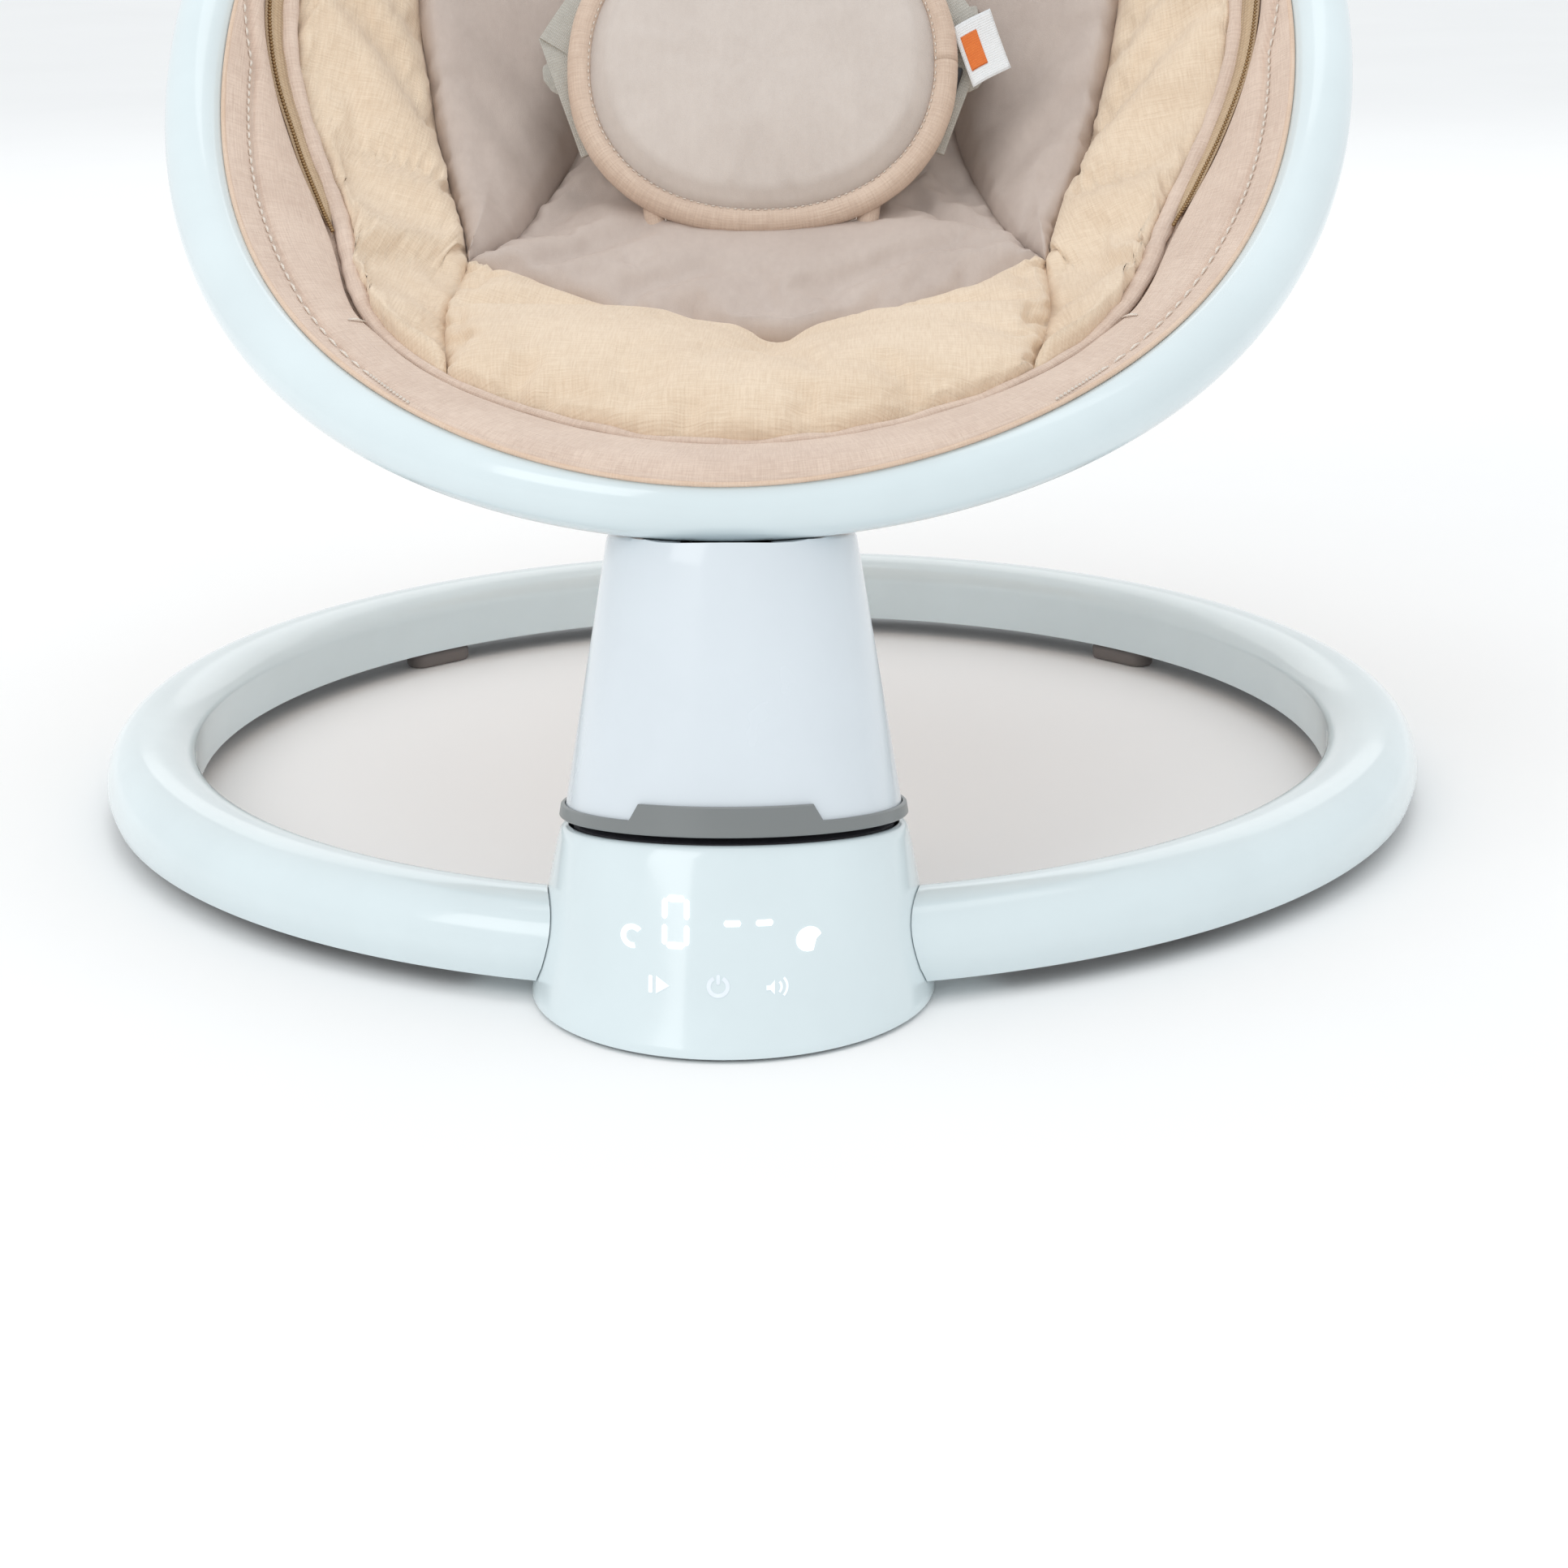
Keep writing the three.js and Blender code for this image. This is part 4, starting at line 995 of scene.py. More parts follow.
class Panel:
    """One sewn panel of the liner: a patch of the seat, with its seams sunk and its middle crowned."""

    def __init__(self, name, look, plan, crown, creases=()):
        self.name, self.look, self.plan = name, look, plan
        across, along = plan[..., 0], plan[..., 1]
        base = seat_point(across, along, liner_top(across, along))
        rows, cols = from_border(base)
        border = np.minimum(rows, cols)
        rounding = np.sqrt(1 - (1 - np.clip(border / 0.026, 0, 1)) ** 2)
        down = liner_top(across, along) + 0.0050 * (1 - rounding) - crown * rounding
        for line, depth, width in creases:
            down = down + depth * crease_share(plan, line, width)
        self.grid = seat_point(across, along, down)
        self.held = border < 0.0035

    def cloth(self):
        rows, cols = self.grid.shape[:2]
        return self.grid.reshape(-1, 3), grid_faces(rows, cols), self.held.ravel()

    def finish(self, points, seed):
        grid = gathered(refine(points.reshape(self.grid.shape)), seed)
        plan = refine(self.plan)
        across, along = plan[..., 0], plan[..., 1]
        edge = liner_edge(oval_degrees(across, along))
        under = seat_point(across, along, bed_depth(oval_share(across, along), along, edge) - 0.0020)
        made = closed_pad(self.name, grid, under, plan, self.look, "seat")
        return made


def crease_share(plan, line, width):
    """How far into a crease each place of a plan is, from 0 to 1; the crease fades at its ends."""
    a, b = np.array(line[0], float), np.array(line[1], float)
    along = ((plan - a) @ (b - a)) / np.sum((b - a) ** 2)
    nearest = a + np.clip(along, 0, 1)[..., None] * (b - a)
    away = np.linalg.norm(plan - nearest, axis=-1)
    return np.exp(-((away / width) ** 2))


def closed_pad(name, top, under, plan, look, body):
    """A closed body between a top grid and an under grid, joined round their border."""
    rows, cols = top.shape[:2]
    count = rows * cols
    faces = grid_faces(rows, cols)
    faces += [tuple(reversed([i + count for i in face])) for face in faces]
    rim = list(range(cols)) + [r * cols + cols - 1 for r in range(1, rows)]
    rim += [(rows - 1) * cols + c for c in range(cols - 2, -1, -1)]
    rim += [r * cols for r in range(rows - 2, 0, -1)]
    for a, b in zip(rim, rim[1:] + rim[:1]):
        faces.append((a + count, b + count, b, a))
    points = np.concatenate([top.reshape(-1, 3), under.reshape(-1, 3)])
    uv = np.concatenate([plan.reshape(-1, 2)] * 2)
    return face_outwards(make(name, points, faces, look, body, uv))


SPACING = 0.0048


def count_for(length):
    return max(5, int(round(length / SPACING)) | 1)


def mirrored(plan):
    flipped = plan[:, ::-1].copy()
    flipped[..., 0] *= -1
    return flipped


def liner_panels():
    """The eight panels of the liner: linen round the rim, velour inside."""
    front_edge = edge_curve(-CORNER_SEAM_ANGLE, CORNER_SEAM_ANGLE, count_for(0.26))
    front_seam = whole_curve(FRONT_SEAM, len(front_edge), NOTCH_LEAN)
    corner = np.array([front_edge[-1], (front_edge[-1] + CORNER) / 2 + (0.004, 0), CORNER])
    right = curve_through(corner, count_for(0.14))
    left = right * (-1, 1)
    front = Panel("front_panel", "tan", coons(front_edge, front_seam, left, right), 0.0045,
                  [(((0.012, 0.176), (0.008, 0.125)), 0.0050, 0.010),
                   (((-0.082, 0.055), (-0.074, 0.085)), 0.0040, 0.005),
                   (((-0.066, 0.047), (-0.064, 0.068)), 0.0034, 0.004),
                   (((0.064, 0.050), (0.052, 0.085)), 0.0036, 0.006),
                   (((0.030, 0.038), (0.024, 0.062)), 0.0030, 0.005),
                   (((-0.020, 0.036), (-0.014, 0.056)), 0.0026, 0.005),
                   (((-0.030, 0.150), (0.020, 0.146)), 0.0020, 0.009)])

    rows = count_for(0.44)
    side_out = edge_curve(CORNER_SEAM_ANGLE, TOP_SEAM_ANGLE, rows)
    side_in = curve_through(SIDE_SEAM, rows)
    cols = count_for(0.062)
    low = resample(right[::-1], cols)
    high = resample(np.array([TOP_CORNER, side_out[-1]]), cols)
    side_plan = coons(low, high, side_in, side_out)
    side_creases = [(((0.152, 0.262), (0.130, 0.262)), 0.0036, 0.0045),
                    (((0.128, 0.190), (0.146, 0.166)), 0.0030, 0.0055),
                    (((0.172, 0.345), (0.140, 0.306)), 0.0042, 0.0060),
                    (((0.180, 0.382), (0.148, 0.352)), 0.0038, 0.0060),
                    (((0.186, 0.425), (0.156, 0.400)), 0.0034, 0.0065)]
    turned_creases = [(((-a[0] - 0.004, a[1] + 0.018), (-b[0], b[1] + 0.014)), d, w)
                      for (a, b), d, w in side_creases]
    sides = [Panel("side_panel_right", "tan", side_plan, 0.0055, side_creases),
             Panel("side_panel_left", "tan", mirrored(side_plan), 0.0055, turned_creases)]

    top_edge = edge_curve(360 - TOP_SEAM_ANGLE, TOP_SEAM_ANGLE, count_for(0.24))
    top_seam = whole_curve(TOP_SEAM, len(top_edge))
    top_right = resample(np.array([TOP_CORNER, top_edge[-1]]), 7)
    top = Panel("top_panel", "tan", coons(top_seam, top_edge, top_right * (-1, 1), top_right), 0.004)

    crease_low = curve_through(LOWER_CREASE, count_for(0.17))
    crease_high = curve_through(UPPER_CREASE, count_for(0.18))
    inner = np.concatenate([crease_low, crease_high[1:]])
    outer = resample(side_in, len(inner))
    tips = (resample(np.array([inner[0] + (-0.0015, 0.0015), inner[0] + (0.0015, 0.0015)]), 15),
            resample(np.array([inner[-1] + (-0.0015, -0.0015), inner[-1] + (0.0015, -0.0015)]), 15))
    bolster_plan = coons(*tips, inner + (0.0, 0.0), outer)
    folds = [(((0.100, 0.300), (0.124, 0.330)), 0.0034, 0.007),
             (((0.098, 0.345), (0.128, 0.366)), 0.0036, 0.008),
             (((0.090, 0.385), (0.134, 0.415)), 0.0034, 0.009),
             (((0.106, 0.262), (0.116, 0.292)), 0.0026, 0.005)]
    left_folds = [(((-a[0], a[1] + 0.012), (-b[0], b[1] + 0.018)), 0.6 * depth, width)
                  for (a, b), depth, width in folds]
    bolsters = [Panel("bolster_right", "velour", bolster_plan, 0.0105, folds),
                Panel("bolster_left", "velour", mirrored(bolster_plan), 0.0105, left_folds)]

    seam = whole_curve(FRONT_SEAM, 47, NOTCH_LEAN)
    back_crease = whole_curve(BACK_CREASE, 47)
    base = Panel("seat_bottom", "velour", coons(seam, back_crease, crease_low * (-1, 1), crease_low), 0.006,
                 [(((-0.078, 0.236), (-0.050, 0.262)), 0.0050, 0.008),
                  (((-0.048, 0.214), (-0.020, 0.226)), 0.0042, 0.007),
                  (((0.030, 0.206), (0.058, 0.236)), 0.0042, 0.009),
                  (((0.004, 0.192), (-0.004, 0.222)), 0.0034, 0.007),
                  (((0.092, 0.262), (0.064, 0.290)), 0.0046, 0.007),
                  (((-0.096, 0.262), (-0.072, 0.300)), 0.0040, 0.007)])
    top_curve = whole_curve(TOP_SEAM, 47)
    back = Panel("seat_back", "velour", coons(back_crease, top_curve, crease_high * (-1, 1), crease_high), 0.006,
                 [(((-0.03, 0.43), (0.03, 0.436)), 0.0025, 0.010)])
    return [front, *sides, top, *bolsters, base, back]


# ------------------------------------------------------------------ the sling
def zip_zone(degrees):
    """1 where the zips run, 0 round the rest of the rim."""
    side = np.abs(degrees)
    return smooth(56, 76, side) * (1 - smooth(126, 144, side))


def band_lip(degrees):
    """The oval share and the depth of the inner edge of the sling's outer band."""
    wavy = 0.0035 * ripple(degrees, 3.3, 7.0)
    side = np.abs(degrees)
    share = liner_edge(degrees) + 0.016 + 0.013 * smooth(42, 49, side) * (1 - smooth(126, 144, side))
    share = share + 0.019 * zip_zone(degrees) * (1 - 0.6 * smooth(96, 126, side)) + wavy
    _, along = oval(np.radians(degrees), share, FABRIC_INSET)
    return share, top_depth(share, along) + 0.0026 - 0.0012 * zip_zone(degrees) + 0.3 * wavy


def hem_width(degrees):
    """How far in from the band's outer edge its hem is sewn; it narrows where the band does."""
    wide = 0.0020 + 0.0110 * smooth(20, 62, np.abs(degrees))
    return np.minimum(wide, band_length(degrees) - 0.0080)


def band_frame(degrees):
    """The cross-section of the outer band at each angle: it runs straight from its lip to the frame's tube,
    touches it, and wraps a little way over it."""
    share, depth = band_lip(degrees)
    lip = np.stack(oval(np.radians(degrees), share, FABRIC_INSET), axis=-1)
    centre = np.stack(oval(np.radians(degrees), 1.0), axis=-1)
    reach = np.linalg.norm(lip - centre, axis=-1)
    far = np.hypot(reach, depth)
    tangent = np.arctan2(-depth, reach) + np.arccos(BAND_R_ON_TUBE / far)
    end = np.radians(24 + 98 * bump(degrees, 0, 47))
    touch = np.minimum(tangent, end)
    run = np.stack([reach - BAND_R_ON_TUBE * np.cos(touch), -depth - BAND_R_ON_TUBE * np.sin(touch)], axis=-1)
    return centre, unit(lip - centre), touch, end - touch, run


def band_length(degrees):
    _, _, _, wrap, run = band_frame(degrees)
    return np.linalg.norm(run, axis=-1) + wrap * BAND_R_ON_TUBE


def band_relief(degrees, from_edge, length):
    """How the cloth stands up between the band's seams, and where it is drawn down by them."""
    hem = hem_width(degrees)
    inner = np.clip((from_edge - hem) / np.maximum(length - hem, 1e-4), 0, 1)
    outer = np.clip(from_edge / hem, 0, 1)
    puff = np.where(from_edge > hem, 0.0011 * np.sin(math.pi * inner), 0.0006 * np.sin(math.pi * outer))
    seam = 0.0015 * bump(from_edge, hem, 0.0011) * smooth(26, 40, np.abs(degrees))
    return puff - seam + 0.0014 * ripple(degrees, 3.3, 7.0) * inner


def on_band(degrees, from_edge, above=0.0):
    """Points on the sling's outer band, at distances from its outer edge."""
    degrees, from_edge = np.broadcast_arrays(np.asarray(degrees, float), np.asarray(from_edge, float))
    centre, inward, touch, wrap, run = band_frame(degrees)
    arc = wrap * BAND_R_ON_TUBE
    turn = np.where(from_edge < arc, touch + wrap - from_edge / BAND_R_ON_TUBE, touch)
    on = np.clip(from_edge - arc, 0, None)[..., None] * unit(run)
    lift = above + band_relief(degrees, from_edge, np.linalg.norm(run, axis=-1) + arc)
    face = np.arctan2(unit(run)[..., 0], -unit(run)[..., 1])
    face = np.where(from_edge < arc, turn, face)
    inwards = BAND_R_ON_TUBE * np.cos(turn) + on[..., 0] + lift * np.cos(face)
    up = BAND_R_ON_TUBE * np.sin(turn) + on[..., 1] + lift * np.sin(face)
    plan = centre + inward * inwards[..., None]
    return seat_point(plan[..., 0], plan[..., 1], -up)


def band_plan(degrees, from_edge):
    """Flat coordinates of the band's cloth: round the frame and in from its outer edge."""
    return np.stack([np.radians(degrees) * 0.26, from_edge + 0 * degrees], axis=-1)


def add_sling():
    degrees = np.linspace(-180, 180, 400, endpoint=False)
    edge = liner_edge(degrees)
    lip, depth = band_lip(degrees)
    rows = []
    for f in (0.01, 0.14, 0.28, 0.42, 0.55, 0.67, 0.77, 0.85, 0.92, 0.97, 1.0):
        across, along = oval(np.radians(degrees), f * edge, FABRIC_INSET)
        rows.append((seat_point(across, along, bed_depth(f * edge, along, edge)), across, along))
    for f in (0.35, 0.7, 0.93, 0.995):
        share = edge + f * (lip - edge)
        across, along = oval(np.radians(degrees), share, FABRIC_INSET)
        down = top_depth(share, along) + 0.0075 - 0.0027 * zip_zone(degrees) * smooth(0, 0.6, f)
        rows.append((seat_point(across, along, down), across, along))
    top = [points for points, _, _ in rows]
    plan = [np.stack([across, along], axis=-1) for _, across, along in rows]
    length, hem = band_length(degrees), hem_width(degrees)
    spots = [length - 0.0002, length - 0.0006, length - 0.0018, length - 0.004]
    spots += [hem + 0.0018 + f * (length - 0.0058 - hem) for f in (0.8, 0.6, 0.4, 0.2)]
    spots += [hem + 0.0018, hem + 0.0008, hem, hem - 0.0008, hem - 0.0016]
    spots += [(hem - 0.0016) * f for f in (0.7, 0.4, 0.12)] + [0 * hem]
    lifts = [-0.0016, -0.0004] + [0.0] * (len(spots) - 2)
    for spot, lift in zip(spots, lifts):
        top.append(on_band(degrees, spot, lift))
        plan.append(band_plan(degrees, spot))
    top = np.array(top)
    down_way = seat_point(0, 0.2, 0.0014) - seat_point(0, 0.2, 0)
    count = len(rows)
    under = [points + down_way for points in top[:count]]
    for spot in spots[1:]:
        under.append(on_band(degrees, spot, -0.0014))
    plan_under = plan[:count] + plan[count + 1 :]
    sling = capped("sling_cloth", np.concatenate([top, np.array(under)[::-1]]), "sling", "seat")
    set_uv(sling, np.concatenate([plan, plan_under[::-1]]).reshape(-1, 2))
    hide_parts("seat_sling")
    sewn = [add_edging(), *add_top_stitch(), add_rim_roll()]
    for side, sign in (("left", -1), ("right", 1)):
        sewn += add_zip(side, sign)


def add_edging():
    degrees = np.linspace(-180, 180, 401)[:-1]
    path = on_band(degrees, 0.0, -0.0008)
    path = np.concatenate([path, path[:1]])
    edging = tube("sling_edging", path, 0.0010, "edge", "seat", SEAT_UP, 10)
    return edging


def add_rim_roll():
    """The rolled edge where the liner meets the sling."""
    degrees = np.linspace(-180, 180, 501)
    zone = smooth(36, 58, np.abs(degrees))
    share = liner_edge(degrees) + 0.0035 + 0.0055 * zone
    radius = 0.0021 + 0.0015 * zone
    radius = radius * (1 + 0.22 * ripple(degrees, 8.1, 3.0))
    across, along = oval(np.radians(degrees), share, FABRIC_INSET)
    sink = ripple(degrees, 5.2, 6.0) * 0.0016
    roll = tube("liner_rim", seat_point(across, along, liner_top(across, along) + 0.0042 - 0.0008 * zone + sink),
                radius, "sling", "seat", SEAT_UP, 16, 0.72)
    return roll


def dashes(name, path, normals, length, gap, width, look, body):
    """A row of stitches along a path: short rounded threads lying on the cloth."""
    whole = np.linalg.norm(np.diff(path, axis=0), axis=1).sum()
    fine = resample(np.hstack([path, normals]), int(whole / 0.0005))
    per, skip = max(3, int(length / 0.0005)), int((length + gap) / 0.0005)
    points, faces, uv = [], [], []
    for start in range(0, len(fine) - per + 1, skip):
        ends = fine[[start, start + per // 2, start + per - 1]]
        middle, up = ends[:, :3], unit(ends[:, 3:])
        side = unit(np.cross(middle[2] - middle[0], up[1]))
        first = len(points)
        for k, (centre, rise, wide) in enumerate(zip(middle, (0.0, 0.45, 0.0), (0.6, 1.0, 0.6))):
            for dx, dz in ((-0.5, 0.0), (-0.3, 0.4), (0.3, 0.4), (0.5, 0.0)):
                points.append(centre + side * dx * width * wide + up[k] * (dz * wide + rise * 0.6) * width)
                uv.append((dx * width, k * length / 2))
        faces += [(first + 4 * k + c, first + 4 * k + (c + 1) % 4, first + 4 * k + 4 + (c + 1) % 4, first + 4 * k + 4 + c)
                  for k in (0, 1) for c in range(4)]
        faces += [(first + 3, first + 2, first + 1, first), (first + 8, first + 9, first + 10, first + 11)]
    made = face_outwards(make(name, points, faces, look, body, uv))
    return made


def add_top_stitch():
    side = np.linspace(30, 179, 800)
    made = []
    for run, sign in (("left", -1), ("right", 1)):
        at = sign * side
        path = on_band(at, hem_width(at) - 0.0028, 0.0003)
        normals = band_normals(at, hem_width(at) - 0.0028)
        made.append(dashes(f"top_stitch_{run}", path, normals, 0.0036, 0.0009, 0.0011, "thread", "seat"))
    return made


def band_normals(degrees, from_edge):
    return unit(on_band(degrees, from_edge, 0.001) - on_band(degrees, from_edge, 0.0))


def on_gap(degrees, ahead, above=0.0):
    """Points on the floor of the gap between the liner's rim and the band, ahead of the band's lip in shares."""
    share = band_lip(degrees)[0] + ahead
    across, along = oval(np.radians(degrees), share, FABRIC_INSET)
    return seat_point(across, along, top_depth(share, along) + 0.0034 - above)


def add_zip(side, sign):
    """A zip between the liner and the sling: its tape, its teeth, its slider and a bar-tack at its end."""
    degrees = sign * np.linspace(64, 130, 260)
    path = on_gap(degrees, -0.0075, 0.0006)
    taper = smooth(63, 72, np.abs(degrees))
    edges = [on_gap(degrees, -0.0075 - 0.0265 * taper), on_gap(degrees, -0.0075 + 0.0075 * taper)]
    along = travel(path[None], 1)[0]
    uv = np.concatenate([np.stack([0 * along, along], 1), np.stack([0 * along + 0.006, along], 1)])
    tape = make(f"zip_tape_{side}", np.concatenate(edges), grid_faces(2, len(path)), "zip_tape", "seat", uv)
    thick = tape.modifiers.new("thickness", "SOLIDIFY")
    thick.thickness = 0.0005
    apply_modifiers(tape)
    normals = unit(on_gap(degrees, -0.0075, 0.002) - path)
    teeth = dashes(f"zip_teeth_{side}", path, normals, 0.0010, 0.0012, 0.0018, "brass", "seat")
    at = sign * 46.0
    run = band_length(np.array([at]))[0] - np.linspace(0.0005, 0.0095, 14)
    end = on_band(at, run, 0.0003)
    tack = dashes(f"bar_tack_{side}", end, band_normals(at, run), 0.0090, 0.01, 0.0013, "thread", "seat")
    slider = zip_slider(side, path, normals)
    return [tape, teeth, tack, *slider]


def zip_slider(side, path, normals):
    """The zip's slider with its pull, at the zip's upper end."""
    at, along, up = path[-8], unit(path[-8] - path[-20]), normals[-8]
    across = np.cross(along, up)
    body = [(-0.0042, 0.0022, 0.0010), (-0.0030, 0.0030, 0.0026), (0.0015, 0.0030, 0.0028), (0.0040, 0.0018, 0.0014)]
    loops = []
    for ahead, half, high in body:
        section = [(-half, 0.0), (-half, high * 0.7), (-half * 0.6, high), (half * 0.6, high), (half, high * 0.7), (half, 0.0)]
        loops.append([at + along * ahead + across * x + up * z for x, z in section])
    slider = capped(f"zip_slider_{side}", loops, "brass", "seat")
    pull_path = [at + along * d + up * h for d, h in ((0.002, 0.0030), (0.006, 0.0036), (0.012, 0.0030), (0.017, 0.0022))]
    pull = tube(f"zip_pull_{side}", pull_path, [0.0010, 0.0012, 0.0022, 0.0014], "brass", "seat", up, 12, 0.45)
    return [slider, pull]


# ------------------------------------------------------------------ the belly pad
def pad_point(x, up, back):
    """Points in the belly pad's frame: across it, up it and behind its front face."""
    x, up, back = np.broadcast_arrays(x, up, back)
    return np.stack(
        [
            x + PAD_FOOT.x,
            back * math.cos(PAD_LEAN) + up * math.sin(PAD_LEAN) + PAD_FOOT.y,
            up * math.cos(PAD_LEAN) - back * math.sin(PAD_LEAN) + PAD_FOOT.z,
        ],
        axis=-1,
    )


def pad_outline(inset, count):
    """The pad's oval outline, moved inwards, as across and up; it starts at its right side."""
    turn = np.linspace(0, 2 * math.pi, count, endpoint=False)
    power = 2 / 2.2
    middle = PAD_HEIGHT / 2 - 0.002
    c, s = np.cos(turn), np.sin(turn)
    x = (PAD_HALF_WIDTH - inset) * np.sign(c) * np.abs(c) ** power
    up = middle + (PAD_HEIGHT / 2 + 0.001 - inset) * np.sign(s) * np.abs(s) ** power
    return x, up


def pad_face(count=120, rings=18, inset=0.0095):
    """The velour face of the pad as rings of points, from near its middle to its seam."""
    x, up = pad_outline(inset, count)
    middle = PAD_HEIGHT / 2 - 0.002
    share = np.linspace(0.015, 1, rings)[:, None]
    dome = -0.0035 * np.sqrt(np.clip(1 - share**2.4, 0, 1)) + 0.0026
    return pad_point(x * share, middle + (up - middle) * share, dome), share


def add_belly_pad(face):
    rings, count = face.shape[:2]
    middle = PAD_HEIGHT / 2 - 0.002
    turn = np.linspace(0, 2 * math.pi, count, endpoint=False)
    pucker = np.array([noise.noise((4.2 * math.cos(a), 4.2 * math.sin(a), 1.7)) for a in turn])
    fine = np.array([noise.noise((17 * math.cos(a), 17 * math.sin(a), 5.7)) for a in turn])
    share = np.linspace(0, 1, rings)[:, None]
    push = np.array([0, -math.cos(PAD_LEAN), math.sin(PAD_LEAN)])
    lift = 0.0013 * pucker * share**2 * (1 - share**6) + 0.0009 * fine * share**5 * (1 - share**10)
    face = face + push * lift[..., None]
    x, up = pad_outline(0.0095, count)
    shares = np.linspace(0.015, 1, rings)[:, None]
    back = pad_point(x * shares, middle + (up - middle) * shares, 0.0102 + 0 * shares)
    loops = np.concatenate([face, back[::-1]])
    pad = capped("belly_pad_face", loops, "pad", "seat")
    plan = np.stack([x * shares, middle + (up - middle) * shares], axis=-1)
    set_uv(pad, np.concatenate([plan, plan[::-1]]).reshape(-1, 2))
    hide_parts("belly_pad")
    x, up = pad_outline(0.0052, 161)
    ring = pad_point(x, up, 0.0062)
    ring = np.concatenate([ring, ring[:1], ring[1:2]])
    wave = 1 + 0.035 * np.array([noise.noise((9 * math.cos(a), 9 * math.sin(a), 2.0))
                                 for a in np.linspace(0, 2 * math.pi, len(ring))])
    push = (0, -math.cos(PAD_LEAN), math.sin(PAD_LEAN))
    binding = tube("belly_pad_binding", ring, 0.0054 * wave, "binding", "seat", push, 22, 1.05)
    x, up = pad_outline(0.0088, 700)
    line = pad_point(x, up, 0.00165)
    normals = np.broadcast_to(np.array(push), line.shape)
    stitch = dashes("pad_stitch", line, normals, 0.0022, 0.0009, 0.0006, "thread", "seat")
    add_crotch_piece()


def add_crotch_piece():
    """The velour piece that runs from the pad down to the seat, bound along both sides."""
    rows, cols = 17, 33
    v = np.linspace(0, 1, rows)[:, None]
    u = np.linspace(-1, 1, cols)[None, :]
    half = 0.0430 - 0.0070 * v
    x = half * u
    up = 0.020 - 0.046 * v - 0.0022 * (1 - u**2) * v
    puff = 0.0042 * np.sqrt(np.clip(1 - u**2, 0, 1)) * np.sqrt(np.clip(1 - (2 * v - 1) ** 4, 0, 1))
    ahead = 0.0210 * smooth(0.40, 1.0, v)
    front = pad_point(x, up, 0.0098 - puff - ahead)
    back = pad_point(x, up, 0.0150 - ahead)
    plan = np.stack(np.broadcast_arrays(x, up), axis=-1)
    panel = closed_pad("crotch_panel", front, back, plan, "pad", "seat")
    push = (0, -math.cos(PAD_LEAN), math.sin(PAD_LEAN))
    for side, sign in (("left", -1), ("right", 1)):
        line = curve_through([(0.0440, 0.019), (0.0425, 0.004), (0.0395, -0.0110), (0.0372, -0.0250)], 36)
        along = np.linspace(0, 1, 36)
        ahead = 0.0210 * smooth(0.40, 1.0, (0.020 - line[:, 1]) / 0.046)
        path = pad_point(sign * line[:, 0], line[:, 1], 0.0104 - ahead)
        radius = 0.0046 * np.sqrt(np.clip((1.02 - along) / 0.10, 0.05, 1))
        strip = tube(f"crotch_binding_{side}", path, radius, "binding", "seat", push, 18, 0.85)
        edge = pad_point(sign * (line[:, 0] - 0.0042), line[:, 1], 0.0066 - ahead)
        normals = np.broadcast_to(np.array(push), edge.shape)
        row = dashes(f"crotch_stitch_{side}", edge[4:-5], normals[4:-5], 0.0022, 0.0009, 0.0006, "thread", "seat")


# ------------------------------------------------------------------ the harness
def behind_pad(x, up, back):
    return tuple(pad_point(x, up, 0.012 + back))


def above_liner(across, along, above):
    share = float(oval_share(across, along))
    return tuple(seat_point(across, along, float(liner_depth(share, along)) - above))


def band(name, points, width, thickness, look, count=90):
    """A strip of webbing along a smooth path; its face turns towards the front."""
    path = curve_through(points, count)
    along = unit(np.gradient(path, axis=0))
    face = np.array([0, -math.cos(PAD_LEAN), math.sin(PAD_LEAN)])
    side = unit(np.cross(along, face))
    normal = unit(np.cross(side, along))
    section = [(-0.5, -0.2), (-0.5, 0.2), (-0.47, 0.5), (-0.25, 0.42), (0.25, 0.42), (0.47, 0.5),
               (0.5, 0.2), (0.5, -0.2), (0.47, -0.5), (0.25, -0.42), (-0.25, -0.42), (-0.47, -0.5)]
    loops = np.array([[p + s * a * width + n * b * thickness for a, b in section]
                      for p, s, n in zip(path, side, normal)])
    made = capped(name, loops, look, "seat")
    length = travel(path[None], 1)[0]
    uv = [[(a * width, at) for a, _ in section] for at in length]
    set_uv(made, np.array(uv).reshape(-1, 2))
    return crisp(made, 50)


def add_harness():
    for side, sign in (("left", -1), ("right", 1)):
        waist = [above_liner(sign * 0.076, 0.398, 0.016), behind_pad(sign * 0.079, 0.084, 0.026),
                 behind_pad(sign * 0.077, 0.076, 0.012), behind_pad(sign * 0.054, 0.073, 0.009),
                 behind_pad(sign * 0.023, 0.072, 0.008)]
        strap = band(f"waist_webbing_{side}", waist, 0.025, 0.0016, "webbing")
        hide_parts(f"waist_strap_{side}")
        shoulder = [above_liner(sign * 0.046, 0.580, 0.010), above_liner(sign * 0.052, 0.540, 0.014),
                    above_liner(sign * 0.054, 0.470, 0.026), behind_pad(sign * 0.046, 0.108, 0.034),
                    behind_pad(sign * 0.036, 0.102, 0.014), behind_pad(sign * 0.032, 0.090, 0.008)]
        strap = band(f"shoulder_webbing_{side}", shoulder, 0.022, 0.0016, "webbing")
        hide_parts(f"shoulder_strap_{side}")
        add_side_loop(side, sign)
    add_label()


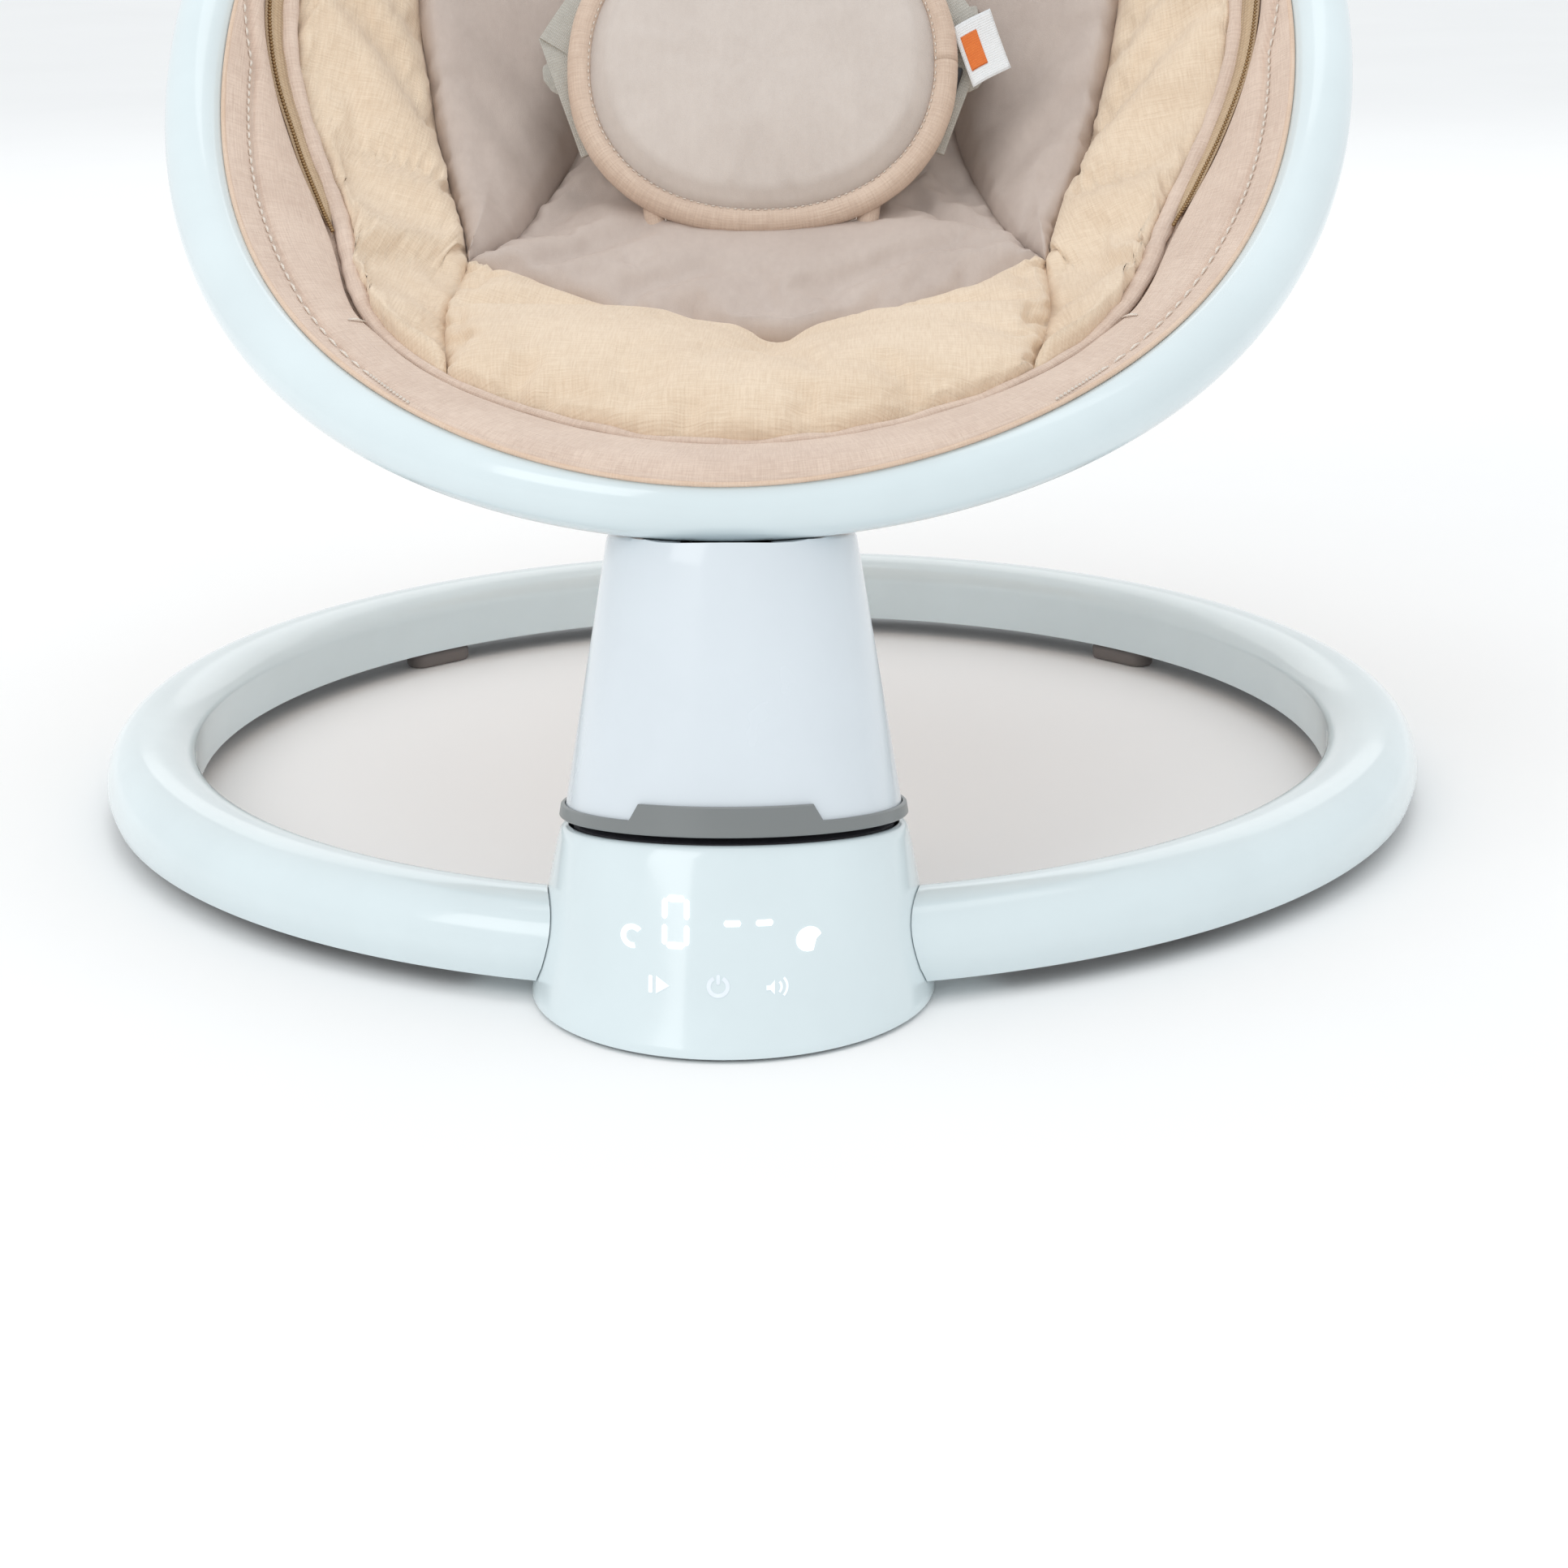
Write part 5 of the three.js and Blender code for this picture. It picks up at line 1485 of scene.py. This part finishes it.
def flat_strap(name, corners, width, back):
    """A flat strap beside the pad, along corners given across and up the pad; it bows forward a little."""
    path = curve_through(corners, 40)
    along = unit(np.gradient(path, axis=0))
    square = np.stack([along[:, 1], -along[:, 0]], axis=1)
    offsets = np.linspace(-0.5, 0.5, 9)
    bow = 0.0012 * np.sin(np.linspace(0, math.pi, len(path)))[:, None] + 0.0005 * (1 - (2 * offsets[None]) ** 2)
    x = path[:, :1] + square[:, :1] * offsets[None] * width
    up = path[:, 1:] + square[:, 1:] * offsets[None] * width
    length = travel(np.concatenate([path, 0 * path[:, :1]], axis=1)[None], 1)[0]
    plan = np.stack([0 * x + offsets[None] * width, 0 * x + length[:, None]], axis=-1)
    at = np.linspace(back[0], back[1], len(path))[:, None]
    front, behind = pad_point(x, up, at - bow), pad_point(x, up, at - bow + 0.0014)
    return closed_pad(name, front, behind, plan, "webbing", "seat")


def add_side_loop(side, sign):
    """The tail of webbing folded beside the pad, with the adjuster that holds it."""
    upper = [(sign * 0.0600, 0.112), (sign * 0.0730, 0.094), (sign * 0.0830, 0.0790)]
    lower = [(sign * 0.0825, 0.0880), (sign * 0.0755, 0.068), (sign * 0.0640, 0.036)]
    for name, corners, back in (("upper", upper, (0.0095, 0.0112)), ("lower", lower, (0.0128, 0.0118))):
        strap = flat_strap(f"strap_tail_{name}_{side}", corners, 0.0200, back)
        crisp(strap, 50)
    centre = Vector(pad_point(0.0692 if sign > 0 else -0.0640, 0.0640, 0.0092))
    place = Matrix.Translation(centre) @ Matrix.Rotation(-PAD_LEAN, 4, "X") @ Matrix.Rotation(sign * 0.32, 4, "Y")
    adjuster = box_piece(f"strap_adjuster_{side}", (0.021, 0.0040, 0.0150), place)
    slots = [box_piece("slot", (0.0150, 0.02, 0.0026), place @ Matrix.Translation((0, 0, z)))
             for z in (-0.0036, 0.0036)]
    carve(adjuster, *slots)
    bevel = adjuster.modifiers.new("rounded", "BEVEL")
    bevel.width, bevel.segments = 0.0009, 3
    bevel.limit_method, bevel.angle_limit = "ANGLE", math.radians(40)
    crisp(apply_modifiers(adjuster), 40)
    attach(adjuster, "seat")


LABEL_WIDTH, LABEL_LENGTH = 0.018, 0.027
LABEL_TILT, LABEL_LEAN = math.radians(32), math.radians(18)


def label_patch(name, low, high, above, look):
    """A piece of the label between two corners of it, which are shares of its width and length."""
    u = np.linspace(low[0], high[0], 13)[None, :]
    v = np.linspace(low[1], high[1], 17)[:, None]
    x, up = (u - 0.5) * LABEL_WIDTH, (v - 0.5) * LABEL_LENGTH
    curl = 0.0016 * np.cos(3.0 * (u - 0.2)) + 0.0011 * (v - 0.5) ** 2 * 4
    across = 0.0888 + x * math.cos(LABEL_TILT) - up * math.sin(LABEL_LEAN)
    height = 0.0760 + x * math.sin(LABEL_TILT) + up * math.cos(LABEL_LEAN)
    top = pad_point(across, height, 0.0072 - curl - above)
    under = pad_point(across, height, 0.0075 - curl - above)
    plan = np.stack(np.broadcast_arrays(x, up), axis=-1)
    return closed_pad(name, top, under, plan, look, "seat")


def add_label():
    cloth = label_patch("care_label_cloth", (0, 0), (1, 1), 0.0, "label")
    patch = label_patch("care_label_patch", (0.10, 0.24), (0.52, 0.80), 0.00032, "orange")
    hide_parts("care_label")


# ------------------------------------------------------------------ the fabric seat, light and camera
def add_fabric():
    panels = liner_panels()
    face, _ = pad_face()
    rings, count = face.shape[:2]
    pad_faces = grid_faces(rings, count, closed=True) + [tuple(range(count))]
    held = np.zeros((rings, count), bool)
    held[-2:] = True
    jobs = [panel.cloth() for panel in panels]
    jobs.append((face.reshape(-1, 3), pad_faces, held.ravel()))
    swollen = swell(jobs)
    made = [panel.finish(points, 11.0 + k) for k, (panel, points) in enumerate(zip(panels, swollen))]
    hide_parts("seat_liner")
    add_sling()
    add_belly_pad(swollen[-1].reshape(face.shape))


def add_light(name, place, target, size, power, colour):
    data = bpy.data.lights.new(name, "AREA")
    data.shape = "RECTANGLE"
    data.size, data.size_y = size
    data.energy = power
    data.color = colour
    lamp = bpy.data.objects.new(name, data)
    lamp.location = place
    lamp.rotation_euler = (Vector(target) - Vector(place)).to_track_quat("-Z", "Y").to_euler()
    bpy.context.scene.collection.objects.link(lamp)


def add_studio():
    floor_mesh = bpy.data.meshes.new("studio_floor")
    size = 14.0
    floor_mesh.from_pydata([(-size, -size, 0), (size, -size, 0), (size, size, 0), (-size, size, 0)], [], [(0, 1, 2, 3)])
    made, tree, shader = new_material("studio_paper")
    place = coordinates(tree, "Object", (1, 1, 1))
    link(tree, blended(tree, noise_at(tree, place, 3), (0.93, 0.93, 0.93), (0.95, 0.95, 0.95)), shader.inputs["Base Color"])
    shader.inputs["Roughness"].default_value = 0.9
    shader.inputs["Specular IOR Level"].default_value = 0.1
    floor_mesh.materials.append(made)
    floor = bpy.data.objects.new("studio_floor", floor_mesh)
    bpy.context.scene.collection.objects.link(floor)
    world = bpy.data.worlds.new("studio")
    world.use_nodes = True
    world.node_tree.nodes["Background"].inputs["Color"].default_value = (0.96, 0.985, 1.0, 1)
    world.node_tree.nodes["Background"].inputs["Strength"].default_value = 0.95
    bpy.context.scene.world = world
    bpy.context.scene.view_settings.view_transform = "Standard"
    target = (0, -0.05, 0.2)
    add_light("key", (-1.3, -1.6, 1.5), target, (1.2, 1.0), 7.5, (1.0, 0.99, 0.975))
    add_light("top", (0.1, 0.1, 2.2), target, (1.6, 1.6), 6, (1.0, 1.0, 1.0))
    add_light("back", (0.0, 1.9, 1.2), (0, 0, 0), (2.4, 1.0), 4, (1.0, 1.0, 1.0))


CAMERA_PLACE = Vector((0.058, -1.268, 0.397))
CAMERA_PITCH, CAMERA_YAW, CAMERA_ROLL = (math.radians(d) for d in (17.7, 2.26, -0.73))


def add_camera():
    data = bpy.data.cameras.new("camera")
    data.sensor_width = 36
    data.lens = 74.53
    data.clip_start = 0.05
    camera = bpy.data.objects.new("camera", data)
    ahead = Vector((-math.sin(CAMERA_YAW) * math.cos(CAMERA_PITCH),
                    math.cos(CAMERA_YAW) * math.cos(CAMERA_PITCH), -math.sin(CAMERA_PITCH)))
    level = Vector((math.cos(CAMERA_YAW), math.sin(CAMERA_YAW), 0))
    above = level.cross(ahead)
    right = level * math.cos(CAMERA_ROLL) + above * math.sin(CAMERA_ROLL)
    up = above * math.cos(CAMERA_ROLL) - level * math.sin(CAMERA_ROLL)
    turn = Matrix((right, up, -ahead)).transposed().to_4x4()
    camera.matrix_world = Matrix.Translation(CAMERA_PLACE) @ turn
    bpy.context.scene.collection.objects.link(camera)
    bpy.context.scene.camera = camera


add_camera()
add_studio()
dress_nodes()
add_floor_ring()
add_housing()
add_column()
add_seat_frame()
add_fabric()
add_harness()
